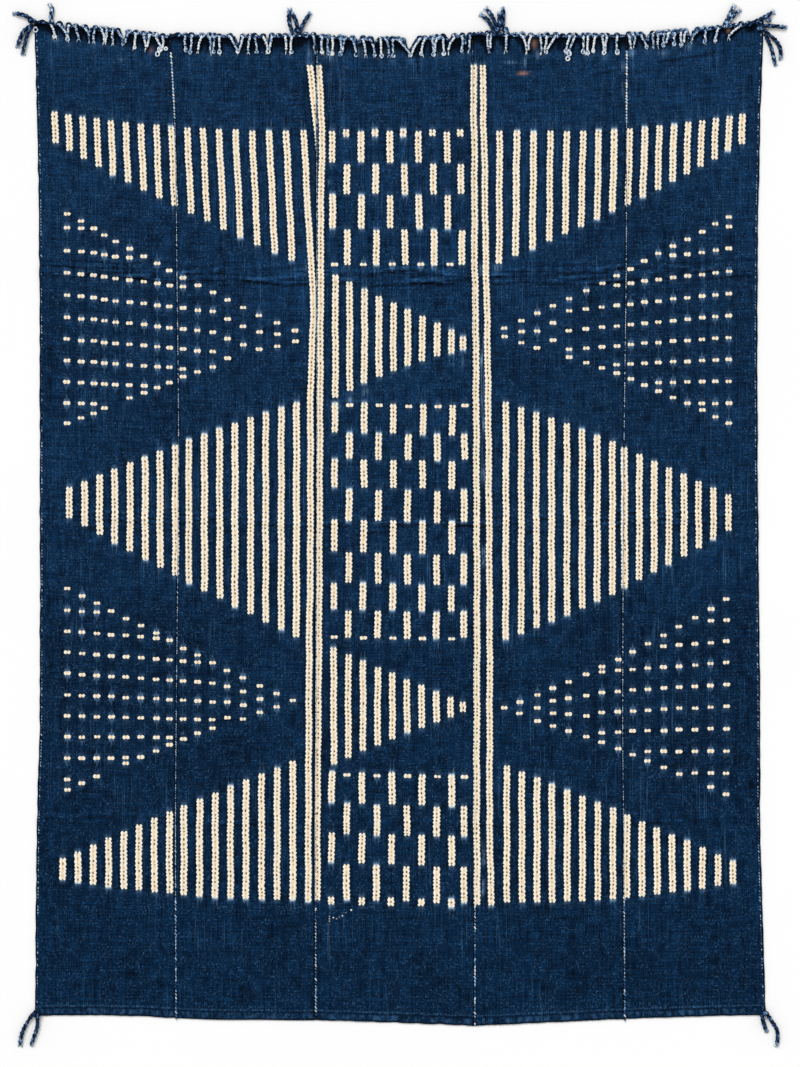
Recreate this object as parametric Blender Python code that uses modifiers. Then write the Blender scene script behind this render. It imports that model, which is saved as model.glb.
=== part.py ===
"""Indigo cloth of five hand-woven strips, laid flat and face up.

The strips are sewn selvedge to selvedge. Their head ends in a narrow heading
whose short cords are folded over the face, and cord tassels stand at the four
corners and above two of the seams. X runs across the cloth, Y from foot to
head, and Z up from the surface that it lies on. Tables are in millimetres.
"""

import math

import bmesh
import bpy

MM = 0.001

CLOTH_THICK = 1.6
HEM_THICK = 2.6
HEM_DEEP = 14.0
HEM_STEP = 2.0
PIECE_GAP = 0.3
HALF_WIDTH = 540.0

PANEL_COLUMNS = 4
PLAIN_ROWS = 3

HEADING_DEEP = 7.0
HEADING_THICK = 3.0
SCALLOP_DEEP = 2.5
CORD_REACH = 24.0
CORD_LEAN = 1.6

FLAT_TILT = math.pi / 4
FLAT_SIDE = math.cos(FLAT_TILT)
STRAND_RADIUS = 2.6
ROOT_LIFT = 0.9
STRAND_TIP_RADIUS = 1.5
KNOT_FOOT_RADIUS = 4.4
KNOT_TOP_RADIUS = 2.8
KNOT_HIGH = 5.2

# Where each selvedge lies across the cloth, from the head to the foot.
LINE_COLUMNS = ("height", "left", "seam_1", "seam_2", "seam_3", "seam_4", "right")
LINE_ROWS = (
    (760.0, -549.0, -347.0, -125.4, 108.8, 340.0, 545.0),
    (600.0, -541.6, -338.0, -126.0, 109.5, 339.3, 537.0),
    (400.0, -540.0, -335.0, -126.0, 110.0, 338.9, 535.0),
    (100.0, -539.6, -332.4, -126.0, 111.0, 335.4, 535.5),
    (-300.0, -540.6, -336.0, -127.0, 112.0, 333.6, 539.4),
    (-450.0, -544.8, -337.0, -127.7, 112.3, 335.0, 540.0),
    (-760.0, -547.6, -336.0, -127.5, 112.0, 337.0, 549.0),
)

# The two ends of each strip: their heights at its sides, how far they bow, and
# how many cords its heading carries.
PANELS = (
    {"head": (757.0, 734.0), "head_bow": 0.0, "foot": (-736.5, -739.5), "foot_bow": 2.5, "cords": 15},
    {"head": (737.0, 736.5), "head_bow": -2.0, "foot": (-739.5, -742.5), "foot_bow": -1.5, "cords": 15},
    {"head": (735.0, 737.0), "head_bow": -5.5, "foot": (-742.5, -751.0), "foot_bow": 0.5, "cords": 17},
    {"head": (739.0, 736.0), "head_bow": -2.0, "foot": (-751.0, -741.0), "foot_bow": 0.2, "cords": 15},
    {"head": (736.5, 757.0), "head_bow": -3.0, "foot": (-741.0, -735.0), "foot_bow": 1.0, "cords": 14},
)

# Old fold lines that still stand up a little: height at the sides of the
# cloth, how far the line hangs lower in the middle, and how high it stands.
FOLDS = (
    {"height": -443.0, "hang": 3.0, "lift": 1.3},
    {"height": 15.5, "hang": 13.0, "lift": 2.0},
    {"height": 383.0, "hang": 15.0, "lift": 2.4},
)
FOLD_PROFILE = ((-11.0, 0.0), (-4.5, 0.55), (0.0, 1.0), (4.5, 0.55), (11.0, 0.0))
FOOT_END = {"height": -720.0, "hang": 3.0, "lift": 0.0}
HEAD_END = {"height": 722.0, "hang": 8.0, "lift": 0.0}

# A head cord: how far below the cloth's edge, its radius, and how far its
# underside clears the face. It starts beyond the edge, near the floor.
CORD_SECTIONS = (
    {"below": -3.6, "radius": 1.8, "clear": -1.4},
    {"below": -1.0, "radius": 3.0, "clear": 0.1},
    {"below": 4.0, "radius": 2.6, "clear": 0.1},
    {"below": 13.0, "radius": 2.3, "clear": 0.1},
    {"below": 19.0, "radius": 3.1, "clear": 0.1},
    {"below": 24.0, "radius": 1.5, "clear": 0.1},
)

# Longer strands that lie on the floor beyond the head, from their heading.
LOOSE_STRANDS = (
    {"panel": 1, "points": ((-520.0, 752.0), (-521.0, 766.0), (-525.0, 780.7))},
    {"panel": 5, "points": ((483.0, 746.0), (490.0, 764.0), (499.5, 780.0))},
    {"panel": 5, "points": ((487.0, 746.0), (496.0, 760.0), (509.0, 773.5))},
)

# Tassels: where the knot lies, and the bend and tip of each strand.
TASSELS = (
    {
        "name": "tassel_head_left",
        "knot": (-554.0, 762.0),
        "strands": (
            ((-567.0, 768.0), (-580.0, 767.0)),
            ((-563.0, 742.0), (-573.5, 717.0)),
            ((-557.5, 738.0), (-563.5, 706.5)),
        ),
    },
    {
        "name": "tassel_seam_2",
        "knot": (-156.0, 747.0),
        "strands": (
            ((-162.5, 760.0), (-165.5, 773.0)),
            ((-155.0, 757.0), (-155.5, 766.0)),
            ((-146.0, 756.0), (-135.8, 769.0)),
        ),
    },
    {
        "name": "tassel_seam_3",
        "knot": (145.0, 750.0),
        "strands": (
            ((133.0, 757.0), (123.0, 765.0)),
            ((138.0, 763.0), (130.5, 773.5)),
            ((148.0, 762.0), (146.5, 772.0)),
            ((152.5, 761.0), (156.0, 776.0)),
        ),
    },
    {
        "name": "tassel_head_right",
        "knot": (552.5, 760.5),
        "strands": (
            ((555.0, 768.0), (557.0, 775.0)),
            ((560.0, 766.0), (567.0, 771.0)),
            ((567.0, 754.0), (580.0, 748.5)),
            ((561.0, 730.0), (572.5, 699.0)),
            ((555.0, 728.0), (562.5, 690.0)),
        ),
    },
    {
        "name": "tassel_foot_left",
        "knot": (-552.0, -742.0),
        "strands": (
            ((-556.0, -762.0), (-569.4, -780.0)),
            ((-547.0, -761.0), (-554.5, -780.7)),
        ),
    },
    {
        "name": "tassel_foot_right",
        "knot": (553.5, -741.0),
        "strands": (
            ((553.0, -750.0), (550.0, -759.0)),
            ((560.0, -758.0), (566.4, -780.7)),
        ),
    },
)

INDIGO = (0.014, 0.040, 0.105, 1.0)
CORD_BLUE = (0.36, 0.47, 0.60, 1.0)


def clear_scene():
    for old in list(bpy.data.objects):
        bpy.data.objects.remove(old, do_unlink=True)


def make_collection(name):
    collection = bpy.data.collections.new(name)
    bpy.context.scene.collection.children.link(collection)
    return collection


def make_material(name, colour, roughness):
    material = bpy.data.materials.new(name)
    material.use_nodes = True
    shader = material.node_tree.nodes["Principled BSDF"]
    shader.inputs["Base Color"].default_value = colour
    shader.inputs["Roughness"].default_value = roughness
    shader.inputs["Metallic"].default_value = 0.0
    return material


def line_at(name, height):
    """How far across a selvedge lies at this height: a smooth curve through its rows."""
    column = LINE_COLUMNS.index(name)
    heights = [row[0] for row in LINE_ROWS]
    places = [row[column] for row in LINE_ROWS]
    last = len(heights) - 1
    k = 0
    while k < last - 1 and height < heights[k + 1]:
        k += 1
    before = max(k - 1, 0)
    after = min(k + 2, last)
    span = heights[k + 1] - heights[k]
    t = (height - heights[k]) / span
    slope_in = (places[k + 1] - places[before]) / (heights[k + 1] - heights[before]) * span
    slope_out = (places[after] - places[k]) / (heights[after] - heights[k]) * span
    return (
        (2 * t**3 - 3 * t**2 + 1) * places[k]
        + (t**3 - 2 * t**2 + t) * slope_in
        + (3 * t**2 - 2 * t**3) * places[k + 1]
        + (t**3 - t**2) * slope_out
    )


def panel_sides(number, height):
    """A strip's left and right selvedge at this height, clear of its neighbours."""
    left = line_at(LINE_COLUMNS[number], height)
    right = line_at(LINE_COLUMNS[number + 1], height)
    return left + PIECE_GAP / 2, right - PIECE_GAP / 2


def end_height(ends, bow, share):
    """The height of a strip's head or foot, at a share of the way across it."""
    return ends[0] + (ends[1] - ends[0]) * share + bow * 4 * share * (1 - share)


def pieced_height(ends, bow, share):
    """The same height, along the straight pieces between a strip's columns."""
    place = share * PANEL_COLUMNS
    k = min(int(place), PANEL_COLUMNS - 1)
    low = end_height(ends, bow, k / PANEL_COLUMNS)
    high = end_height(ends, bow, (k + 1) / PANEL_COLUMNS)
    return low + (high - low) * (place - k)


def hang(across):
    """How much of a line's hang shows at this place across the cloth."""
    return 1 - (across / HALF_WIDTH) ** 2


def panel_rows():
    """Rows between hem and heading, as height at the sides, hang and lift."""
    rows = []
    below = FOOT_END
    for line in FOLDS + (HEAD_END,):
        for k in range(PLAIN_ROWS):
            share = (k + 1) / (PLAIN_ROWS + 1)
            height = below["height"] + (line["height"] - below["height"]) * share
            row_hang = below["hang"] + (line["hang"] - below["hang"]) * share
            rows.append((height, row_hang, 0.0))
        if line["lift"]:
            for offset, share in FOLD_PROFILE:
                rows.append((line["height"] + offset, line["hang"], line["lift"] * share))
        below = line
    return rows


def add_panel(number, collection, material):
    """One strip of cloth: a grid along its selvedges and folds, with a wall.

    Rows 0 to 2 are the foot, the hem's inner edge and the step down from it,
    the last row is the head, and the folds' rows lie between.
    """
    panel = PANELS[number - 1]
    rows = panel_rows()
    row_count = len(rows) + 4
    bm = bmesh.new()
    bmesh.ops.create_grid(bm, x_segments=PANEL_COLUMNS, y_segments=row_count - 1, size=0.5)
    bm.verts.ensure_lookup_table()
    body_share = CLOTH_THICK / HEM_THICK
    thick_share = {}
    for vert in bm.verts:
        share = vert.co.x + 0.5
        row = round((vert.co.y + 0.5) * (row_count - 1))
        foot = end_height(panel["foot"], panel["foot_bow"], share)
        head = end_height(panel["head"], panel["head_bow"], share) - HEADING_DEEP - PIECE_GAP
        lift = 0.0
        if row == 0:
            height = foot
        elif row == 1:
            height = foot + HEM_DEEP - HEM_STEP
        elif row == 2:
            height = foot + HEM_DEEP
        elif row == row_count - 1:
            height = head
        else:
            side_height, row_hang, lift = rows[row - 3]
            left, right = panel_sides(number, side_height)
            height = side_height - row_hang * hang(left + (right - left) * share)
        left, right = panel_sides(number, height)
        vert.co = ((left + (right - left) * share) * MM, height * MM, lift * MM)
        thick_share[vert.index] = 1.0 if row < 2 else body_share
    mesh = bpy.data.meshes.new(f"panel_{number}")
    bm.to_mesh(mesh)
    bm.free()
    obj = bpy.data.objects.new(f"panel_{number}", mesh)
    collection.objects.link(obj)
    mesh.materials.append(material)
    group = obj.vertex_groups.new(name="thickness")
    for index, share in thick_share.items():
        group.add([index], share, "REPLACE")
    wall = obj.modifiers.new("cloth thickness", "SOLIDIFY")
    wall.thickness = HEM_THICK * MM
    wall.offset = 1.0
    wall.vertex_group = group.name
    return obj


def strands_to_mesh(name, strands, collection):
    """Four-sided strands from points and radii, as one mesh of closed tubes."""
    curve = bpy.data.curves.new(name, "CURVE")
    curve.dimensions = "3D"
    curve.bevel_depth = 1.0
    curve.bevel_resolution = 0
    curve.use_fill_caps = True
    curve.twist_mode = "Z_UP"
    for points in strands:
        spline = curve.splines.new("POLY")
        spline.points.add(len(points) - 1)
        for point, (x, y, z, radius) in zip(spline.points, points):
            point.co = (x * MM, y * MM, z * MM, 1.0)
            point.radius = radius * MM
            point.tilt = FLAT_TILT
    source = bpy.data.objects.new(name, curve)
    collection.objects.link(source)
    bpy.context.view_layer.update()
    evaluated = source.evaluated_get(bpy.context.evaluated_depsgraph_get())
    mesh = bpy.data.meshes.new_from_object(evaluated)
    bpy.data.objects.remove(source, do_unlink=True)
    bm = bmesh.new()
    bm.from_mesh(mesh)
    bmesh.ops.remove_doubles(bm, verts=bm.verts, dist=0.00002)
    bmesh.ops.recalc_face_normals(bm, faces=bm.faces)
    bm.to_mesh(mesh)
    bm.free()
    tool = bpy.data.objects.new(name, mesh)
    tool.hide_render = True
    tool.display_type = "WIRE"
    collection.objects.link(tool)
    return tool


def fuse(base, tool):
    join = base.modifiers.new("strands", "BOOLEAN")
    join.operation = "UNION"
    join.solver = "EXACT"
    join.use_self = True
    join.object = tool


def floor_strand(points):
    """A strand that lies on the floor from its raised root: flat side down, thinner at its tip."""
    strand = []
    for k, (x, y) in enumerate(points):
        radius = STRAND_TIP_RADIUS if k == len(points) - 1 else STRAND_RADIUS
        lift = ROOT_LIFT if k == 0 else 0.0
        strand.append((x, y, radius * FLAT_SIDE + lift, radius))
    return strand


def head_cord(number, k):
    """One short cord of a heading, folded over the edge and along the face."""
    panel = PANELS[number - 1]
    share = (k + 0.5) / panel["cords"]
    edge = end_height(panel["head"], panel["head_bow"], share)
    left, right = panel_sides(number, edge)
    root = left + (right - left) * share
    lean = CORD_LEAN if k % 2 == 0 else -CORD_LEAN
    points = []
    for section in CORD_SECTIONS:
        low = CLOTH_THICK + PIECE_GAP + section["clear"]
        x = root + lean * max(section["below"], 0.0) / CORD_REACH
        y = edge - section["below"]
        points.append((x, y, low + section["radius"] * FLAT_SIDE, section["radius"]))
    return points


def add_heading(number, collection, tools, material):
    """The scalloped strip at a strip's head, with its cords fused to it."""
    panel = PANELS[number - 1]
    segments = panel["cords"] * 2
    bm = bmesh.new()
    bmesh.ops.create_grid(bm, x_segments=segments, y_segments=1, size=0.5)
    for vert in bm.verts:
        share = vert.co.x + 0.5
        edge = end_height(panel["head"], panel["head_bow"], share)
        between_cords = round(share * segments) % 2 == 0
        if vert.co.y < 0:
            height = pieced_height(panel["head"], panel["head_bow"], share) - HEADING_DEEP
        else:
            height = edge - (SCALLOP_DEEP if between_cords else 0.0)
        left, right = panel_sides(number, height)
        vert.co = ((left + (right - left) * share) * MM, height * MM, 0.0)
    mesh = bpy.data.meshes.new(f"heading_{number}")
    bm.to_mesh(mesh)
    bm.free()
    obj = bpy.data.objects.new(f"heading_{number}", mesh)
    collection.objects.link(obj)
    mesh.materials.append(material)
    wall = obj.modifiers.new("heading thickness", "SOLIDIFY")
    wall.thickness = HEADING_THICK * MM
    wall.offset = 1.0
    strands = [head_cord(number, k) for k in range(panel["cords"])]
    for loose in LOOSE_STRANDS:
        if loose["panel"] == number:
            strands.append(floor_strand(loose["points"]))
    fuse(obj, strands_to_mesh(f"heading_{number}_cords", strands, tools))
    return obj


def add_tassel(tassel, collection, tools, material):
    """A knot on the floor with its strands fused to it."""
    x, y = tassel["knot"]
    bm = bmesh.new()
    bmesh.ops.create_cone(
        bm,
        cap_ends=True,
        segments=8,
        radius1=KNOT_FOOT_RADIUS * MM,
        radius2=KNOT_TOP_RADIUS * MM,
        depth=KNOT_HIGH * MM,
    )
    bmesh.ops.translate(bm, verts=bm.verts, vec=(0.0, 0.0, KNOT_HIGH / 2 * MM))
    mesh = bpy.data.meshes.new(tassel["name"])
    bm.to_mesh(mesh)
    bm.free()
    obj = bpy.data.objects.new(tassel["name"], mesh)
    obj.location = (x * MM, y * MM, 0.0)
    collection.objects.link(obj)
    mesh.materials.append(material)
    strands = [floor_strand(((x, y), *points)) for points in tassel["strands"]]
    fuse(obj, strands_to_mesh(f"{tassel['name']}_strands", strands, tools))
    return obj


def main():
    clear_scene()
    cloth = make_collection("indigo cloth")
    tools = make_collection("strand tools")
    indigo = make_material("indigo cotton", INDIGO, 0.9)
    cord = make_material("resist dyed cord", CORD_BLUE, 0.85)
    for number in range(1, len(PANELS) + 1):
        add_panel(number, cloth, indigo)
        add_heading(number, cloth, tools, cord)
    for tassel in TASSELS:
        add_tassel(tassel, cloth, tools, cord)


main()
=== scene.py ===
import math
import random

import bmesh
import bpy
import numpy as np
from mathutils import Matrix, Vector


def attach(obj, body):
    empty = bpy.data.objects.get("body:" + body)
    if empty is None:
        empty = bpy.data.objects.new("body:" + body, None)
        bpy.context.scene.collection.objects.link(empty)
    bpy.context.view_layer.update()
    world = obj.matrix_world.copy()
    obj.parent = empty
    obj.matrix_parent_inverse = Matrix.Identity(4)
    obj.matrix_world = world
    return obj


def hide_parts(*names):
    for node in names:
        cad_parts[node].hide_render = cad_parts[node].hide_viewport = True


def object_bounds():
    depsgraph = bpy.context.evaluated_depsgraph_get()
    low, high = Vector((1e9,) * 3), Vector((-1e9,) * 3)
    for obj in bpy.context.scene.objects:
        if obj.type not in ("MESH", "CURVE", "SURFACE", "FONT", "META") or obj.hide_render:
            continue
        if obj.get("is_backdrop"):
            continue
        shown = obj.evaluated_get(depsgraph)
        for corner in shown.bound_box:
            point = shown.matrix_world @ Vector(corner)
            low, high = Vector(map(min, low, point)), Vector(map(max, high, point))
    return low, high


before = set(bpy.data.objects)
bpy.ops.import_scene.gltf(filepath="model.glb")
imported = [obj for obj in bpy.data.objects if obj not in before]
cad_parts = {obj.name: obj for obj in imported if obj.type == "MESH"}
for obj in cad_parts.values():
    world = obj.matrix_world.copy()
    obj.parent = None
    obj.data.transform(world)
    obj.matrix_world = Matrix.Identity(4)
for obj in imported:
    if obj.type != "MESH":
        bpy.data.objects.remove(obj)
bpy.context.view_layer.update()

mm = 0.001        # the tables are in millimetres: X across the strips, Y from foot to head

# the cloth itself: thicknesses, grid and relief
cloth = {
    "thick": 1.6,
    "hemThick": 2.6,
    "hemDeep": 14.0,
    "gap": 0.3,            # between two strips
    "halfWidth": 540.0,
    "columns": 88,         # between the selvedges, without the three fine ones beside each
    "rows": 524,           # from the foot to the heading, an even number
    "headRows": 14,        # in the heading, an even number
    "headDeep": 32.0,
    "puff": 0.75,          # how far a resist stripe stands up
    "waver": 0.22,         # height of the soft waves all over
    "weftSag": 12.0,       # how far the weft bends down towards the middle
}

# where each selvedge lies across the cloth, from the head to the foot
lineHeights = (760.0, 600.0, 400.0, 100.0, -300.0, -450.0, -760.0)
lines = {
    "left": (-549.0, -544.2, -541.2, -540.4, -540.8, -544.8, -547.8),
    "seam1": (-347.0, -338.0, -335.0, -332.4, -336.0, -337.0, -336.0),
    "seam2": (-125.4, -126.0, -126.0, -126.0, -127.0, -127.7, -127.5),
    "seam3": (108.8, 109.5, 110.0, 111.0, 112.0, 112.3, 112.0),
    "seam4": (340.0, 339.3, 338.9, 335.4, 333.6, 335.0, 337.0),
    "right": (545.6, 540.4, 536.6, 536.6, 540.4, 540.4, 549.6),
}
lineOrder = ("left", "seam1", "seam2", "seam3", "seam4", "right")
headLine = 745.0        # the height at which the heading's width is read

# both ends of each strip: heights at its sides and how far they bow
strips = (
    {"head": (757.0, 734.0, 0.0), "foot": (-736.5, -739.5, 2.5)},
    {"head": (737.0, 736.5, -2.0), "foot": (-739.5, -742.5, -1.5)},
    {"head": (735.0, 737.0, -5.5), "foot": (-742.5, -751.0, 0.5)},
    {"head": (739.0, 736.0, -2.0), "foot": (-751.0, -741.0, 0.2)},
    {"head": (736.5, 757.0, -3.0), "foot": (-741.0, -735.0, 1.0)},
)

# old fold lines: height at the cloth's sides, hang in the middle, lift, how far they reach each way,
# and each crease's place above the fold and the depth of its painted shade
folds = (
    {"height": -443.0, "hang": 3.0, "lift": 1.3, "wide": 11.0, "creases": ((-4.0, 0.45), (5.0, 0.3))},
    {"height": 15.5, "hang": 13.0, "lift": 2.0, "wide": 11.0,
     "creases": ((-6.0, 0.85), (0.5, 0.6), (7.0, 0.6), (-13.0, 0.4), (13.0, 0.3))},
    {"height": 383.0, "hang": 15.0, "lift": 2.4, "wide": 11.0,
     "creases": ((-8.0, 1.1), (-2.0, 0.7), (4.5, 0.7), (10.0, 0.75), (17.0, 0.5))},
)

# a crease's painted shade line and the painted highlight on the rim above it: half widths and how far the
# rim lies above
creaseLook = {"dark": 1.9, "rimAbove": 4.0, "rim": 2.2}

# lesser creases, painted as a shade line with a paler highlight above: two ends and a depth
creases = (
    (384.0, 694.5, 490.5, 711.0, 0.55),
    (284.0, 676.0, 335.0, 683.0, 0.4),
    (-88.0, 683.0, -15.0, 680.0, 0.3),
    (150.0, 671.0, 184.0, 668.5, 0.4),
)
# worn and soiled places: place, half width, half height and strength. The pale spots at (-141, 386) and
# (123.5, 384) lie on the upper fold and are painted highlights
palePlaces = (
    (-516.5, 729.0, 5.0, 4.5, 0.9), (-419.0, 698.0, 5.0, 2.5, 0.4), (432.0, 718.0, 3.5, 6.0, 0.9),
    (347.0, 707.6, 5.0, 4.5, 0.9), (333.7, 688.0, 3.0, 6.0, 0.6), (394.0, 708.0, 7.0, 4.0, 0.5),
    (334.7, 655.0, 2.5, 12.0, 0.4), (165.0, 694.0, 10.0, 2.0, 0.6), (187.5, 694.0, 1.8, 6.0, 0.7),
    (207.0, 706.0, 4.0, 6.0, 0.5), (-105.0, 704.0, 6.0, 9.0, 0.6), (-62.0, 709.0, 6.0, 7.0, 0.5),
    (-15.0, 708.0, 8.0, 5.0, 0.4), (60.0, 706.0, 5.0, 5.0, 0.4), (-136.0, 706.0, 3.0, 12.0, 0.5),
    (-104.5, 660.0, 1.1, 50.0, 0.4), (-84.0, 648.0, 1.1, 45.0, 0.35), (-91.0, 655.0, 1.1, 30.0, 0.25),
    (-141.0, 386.0, 4.0, 3.5, 1.1), (123.5, 384.0, 3.0, 6.0, 1.1), (146.0, 386.0, 5.0, 5.0, 0.7),
    (-96.5, 177.0, 5.5, 6.0, 1.2), (-74.5, 187.0, 5.0, 5.0, 0.8), (-52.0, 200.0, 4.5, 5.0, 0.6),
    (95.0, 245.0, 1.8, 9.0, 0.6), (122.5, 248.0, 2.2, 9.0, 0.9), (123.5, 205.0, 2.2, 70.0, 0.5),
    (123.8, 150.6, 2.2, 8.0, 0.9), (124.5, 78.0, 2.6, 12.0, 1.0), (124.8, -39.6, 2.6, 6.0, 1.0),
    (125.0, -55.5, 2.2, 7.0, 0.9), (123.5, -477.8, 2.6, 4.0, 1.0), (125.3, -490.0, 2.4, 5.0, 0.9),
    (126.0, -504.0, 2.2, 6.0, 0.8), (124.5, -538.0, 2.4, 5.0, 1.0), (124.2, -550.0, 2.4, 5.0, 1.0),
    (-225.0, 532.0, 2.2, 2.2, 0.8), (-105.0, 514.0, 2.0, 3.0, 0.8), (-105.8, -618.0, 1.8, 26.0, 0.5),
)
brownPlaces = (
    (184.5, 677.5, 6.5, 1.9, 1.4), (201.5, 722.0, 4.0, 6.5, 0.6), (492.3, 743.0, 2.6, 4.2, 1.0),
    (-373.0, 712.0, 3.2, 5.0, 0.35),
)

# long resist stripes in the outer strips, from the outer one to the inner one:
# "top" and "bottom" are heights outside, inside and how far they bow; "lean" moves the bottom end across,
# and "step" is how far the inner strip's stripes start outwards at the seam
bands = (
    {"count": 17, "drawn": 16, "x": (-517.8, -144.6), "ease": 0.125, "step": 0.0,
     "top": (619.5, 591.6, -7.5), "bottom": (572.4, 385.2, -1.0), "lean": (1.2, 9.6, 0.0)},
    {"count": 17, "drawn": 17, "x": (513.4, 149.2), "ease": 0.147, "step": 0.0,
     "top": (617.2, 591.6, -9.0), "bottom": (571.3, 392.2, -1.5), "lean": (-1.0, -0.8, -2.2)},
    {"count": 16, "drawn": 16, "x": (-495.9, -155.0), "ease": 0.0, "step": -2.6,
     "top": (56.7, 184.5, 3.8), "bottom": (9.6, -169.1, -1.9), "lean": (0.0, 0.0, 0.0)},
    {"count": 16, "drawn": 16, "x": (492.4, 158.8), "ease": 0.0, "step": 4.2,
     "top": (46.0, 185.5, 4.8), "bottom": (-9.4, -172.1, -9.0), "lean": (0.0, 0.0, 0.0)},
    {"count": 16, "drawn": 16, "x": (-505.8, -160.7), "ease": 0.008, "step": -1.4,
     "top": (-499.5, -354.0, 2.2), "bottom": (-532.9, -562.8, -6.4), "lean": (0.0, 0.0, 0.0)},
    {"count": 16, "drawn": 16, "x": (499.1, 159.9), "ease": -0.006, "step": 1.4,
     "top": (-503.6, -360.8, 3.0), "bottom": (-537.9, -566.7, -7.6), "lean": (0.0, 0.0, 0.0)},
)

# triangles of dots: "x" is each column's place, from the outer one to the tip. The rows are evenly placed
# at the outer column and fall by "fall" less "less" times the row's number squared towards the tip.
# "tip" is the count and the lowest dot's height for each of the last columns, and "gone" the columns
# without their lowest dot
dotFields = (
    {"x": (-499.5, -478, -459, -443.5, -426.5, -405.5, -384, -364, -345.5, -325.5, -303.5, -280.5, -258.5,
           -235.5, -211, -184, -157),
     "rows": 9, "first": 446.5, "last": 183.0, "upper": (466.0, 291.0, 3.0),
     "lower": (152.2, 276.0, 0.0), "fall": 40.5, "less": 0.52, "sag": -3.5, "gone": (4,),
     "tip": ((4, 250.5), (3, 270.0), (3, 264.0), (3, 268.5), (2, 276.0))},
    {"x": (493, 473, 453, 431, 409.5, 387.5, 366.5, 346, 325, 303, 279, 253.5, 229.5, 205.5, 182.5, 156.5),
     "rows": 9, "first": 447.8, "last": 182.5, "upper": (462.3, 295.0, 0.0),
     "lower": (152.0, 280.0, 7.0), "fall": 44.0, "less": 0.82, "sag": -1.0, "gone": (),
     "tip": ((3, 277.5), (3, 265.5), (3, 273.0), (2, 282.0))},
    {"x": (-499, -477, -454.5, -433, -411, -388.5, -365.5, -345.5, -325, -303.5, -281.5, -259, -235.5, -210,
           -184.5, -160.5),
     "rows": 9, "first": -128.1, "last": -381.0, "upper": (-95.6, -263.5, 0.5),
     "lower": (-397.1, -265.5, 6.0), "fall": 28.0, "less": 0.75, "sag": 0.0, "gone": (3,),
     "tip": ((4, -289.5), (4, -291.0), (3, -280.5), (2, -273.0), (1, -264.0))},
    {"x": (489.5, 466, 442.5, 418.5, 395.5, 371.5, 349, 327, 302.5, 279, 252.5, 229.5, 206, 179.5, 156),
     "rows": 8, "first": -142.5, "last": -372.6, "upper": (-111.6, -274.5, -8.4),
     "lower": (-403.5, -274.5, 4.0), "fall": 28.0, "less": 0.70, "sag": 2.0, "gone": (2,),
     "tip": ((4, -318.0), (4, -309.0), (4, -301.5), (3, -294.0), (2, -282.0), (1, -273.0))},
)

# the middle strip's ten columns: the first one's place, the pitch, and the last one, which stands closer
centreColumns = 10
# blocks of dashes: every other dash is missing, and caps close the open ends; "sag" and "lastSag" are how
# far the ninth and the last column hang, "lean" is how far the block's top lies to the right, and
# "capAside" is how far the upper and the lower caps lie from their columns
dashBlocks = (
    {"first": -100.2, "pitch": 21.6, "last": 93.0, "sag": 0.8, "lastSag": 0.5, "lean": -1.8,
     "capAside": (-0.6, 2.0),
     "starts": (591.2, 542.0, 495.4, 443.4), "ends": (543.2, 496.3, 444.6, 390.2),
     "capAbove": (593.5, 582.5), "capBelow": (391.0, 391.0)},
    {"first": -99.5, "pitch": 22.0, "last": 95.2, "sag": 4.0, "lastSag": 2.0, "lean": 2.0,
     "capAside": (0.4, 0.8),
     "starts": (184.0, 139.5, 99.6, 54.8, 8.6, -41.0, -86.2, -127.2),
     "ends": (138.6, 99.3, 57.2, 6.8, -40.0, -86.8, -126.1, -168.0),
     "capAbove": (180.0, 180.0), "capBelow": (-168.5, -168.5)},
    {"first": -103.0, "pitch": 22.5, "last": 95.6, "sag": 5.2, "lastSag": 4.0, "lean": 1.0,
     "capAside": (0.4, -0.2),
     "starts": (-369.0, -417.2, -460.6, -508.2), "ends": (-416.6, -463.2, -506.0, -562.0),
     "capAbove": (-375.0, -375.0), "capBelow": (-557.0, -570.0)},
)
smallTriangles = (
    {"first": -96.9, "pitch": 21.75, "last": 94.4, "top": (375.2, 282.2, 0.0),
     "bottom": (190.0, 262.5, 8.2)},
    {"first": -99.4, "pitch": 21.95, "last": 94.4, "top": (-183.0, -265.5, -2.0),
     "bottom": (-358.6, -280.8, 3.0)},
)

# the long lines beside the middle seams, as places down the cloth
longLines = (
    {"strips": (2,), "points": ((-135.5, 690.0), (-128.5, 630.0), (-123.8, 592.5), (-122.3, 562.5))},
    {"strips": (2,), "points": (
        (-144.6, 592.5), (-136.4, 439.5), (-131.1, 367.5), (-129.6, 315.0), (-132.2, 253.5), (-134.3, 202.5),
        (-134.3, -52.5), (-136.1, -172.5), (-137.6, -502.5), (-137.6, -565.5))},
    {"strips": (3,), "points": (
        (-122.0, 690.0), (-116.5, 592.5), (-119.1, 439.5), (-118.2, 394.5), (-119.1, 318.0), (-119.7, 207.0),
        (-120.8, -52.5), (-121.5, -172.5), (-123.9, -442.5), (-123.8, -563.0))},
    {"strips": (3, 4), "points": (
        (110.4, 690.0), (110.7, 600.0), (111.8, 562.5), (111.8, 397.5), (113.7, 300.0), (115.5, -112.5),
        (114.9, -442.5), (115.9, -570.0))},
    {"strips": (4,), "points": (
        (124.5, 690.0), (124.8, 607.5), (126.6, 562.5), (128.2, 427.5), (130.9, 300.0), (132.8, 127.5),
        (134.7, -172.5), (134.3, -442.5), (136.8, -571.0))},
)


def spread(ends, share):
    return ends[0] + (ends[1] - ends[0]) * share + ends[2] * 4 * share * (1 - share)


def eased(ends, ease, share):
    return ends[0] + (ends[1] - ends[0]) * (share - ease * share * (1 - share))


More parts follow.
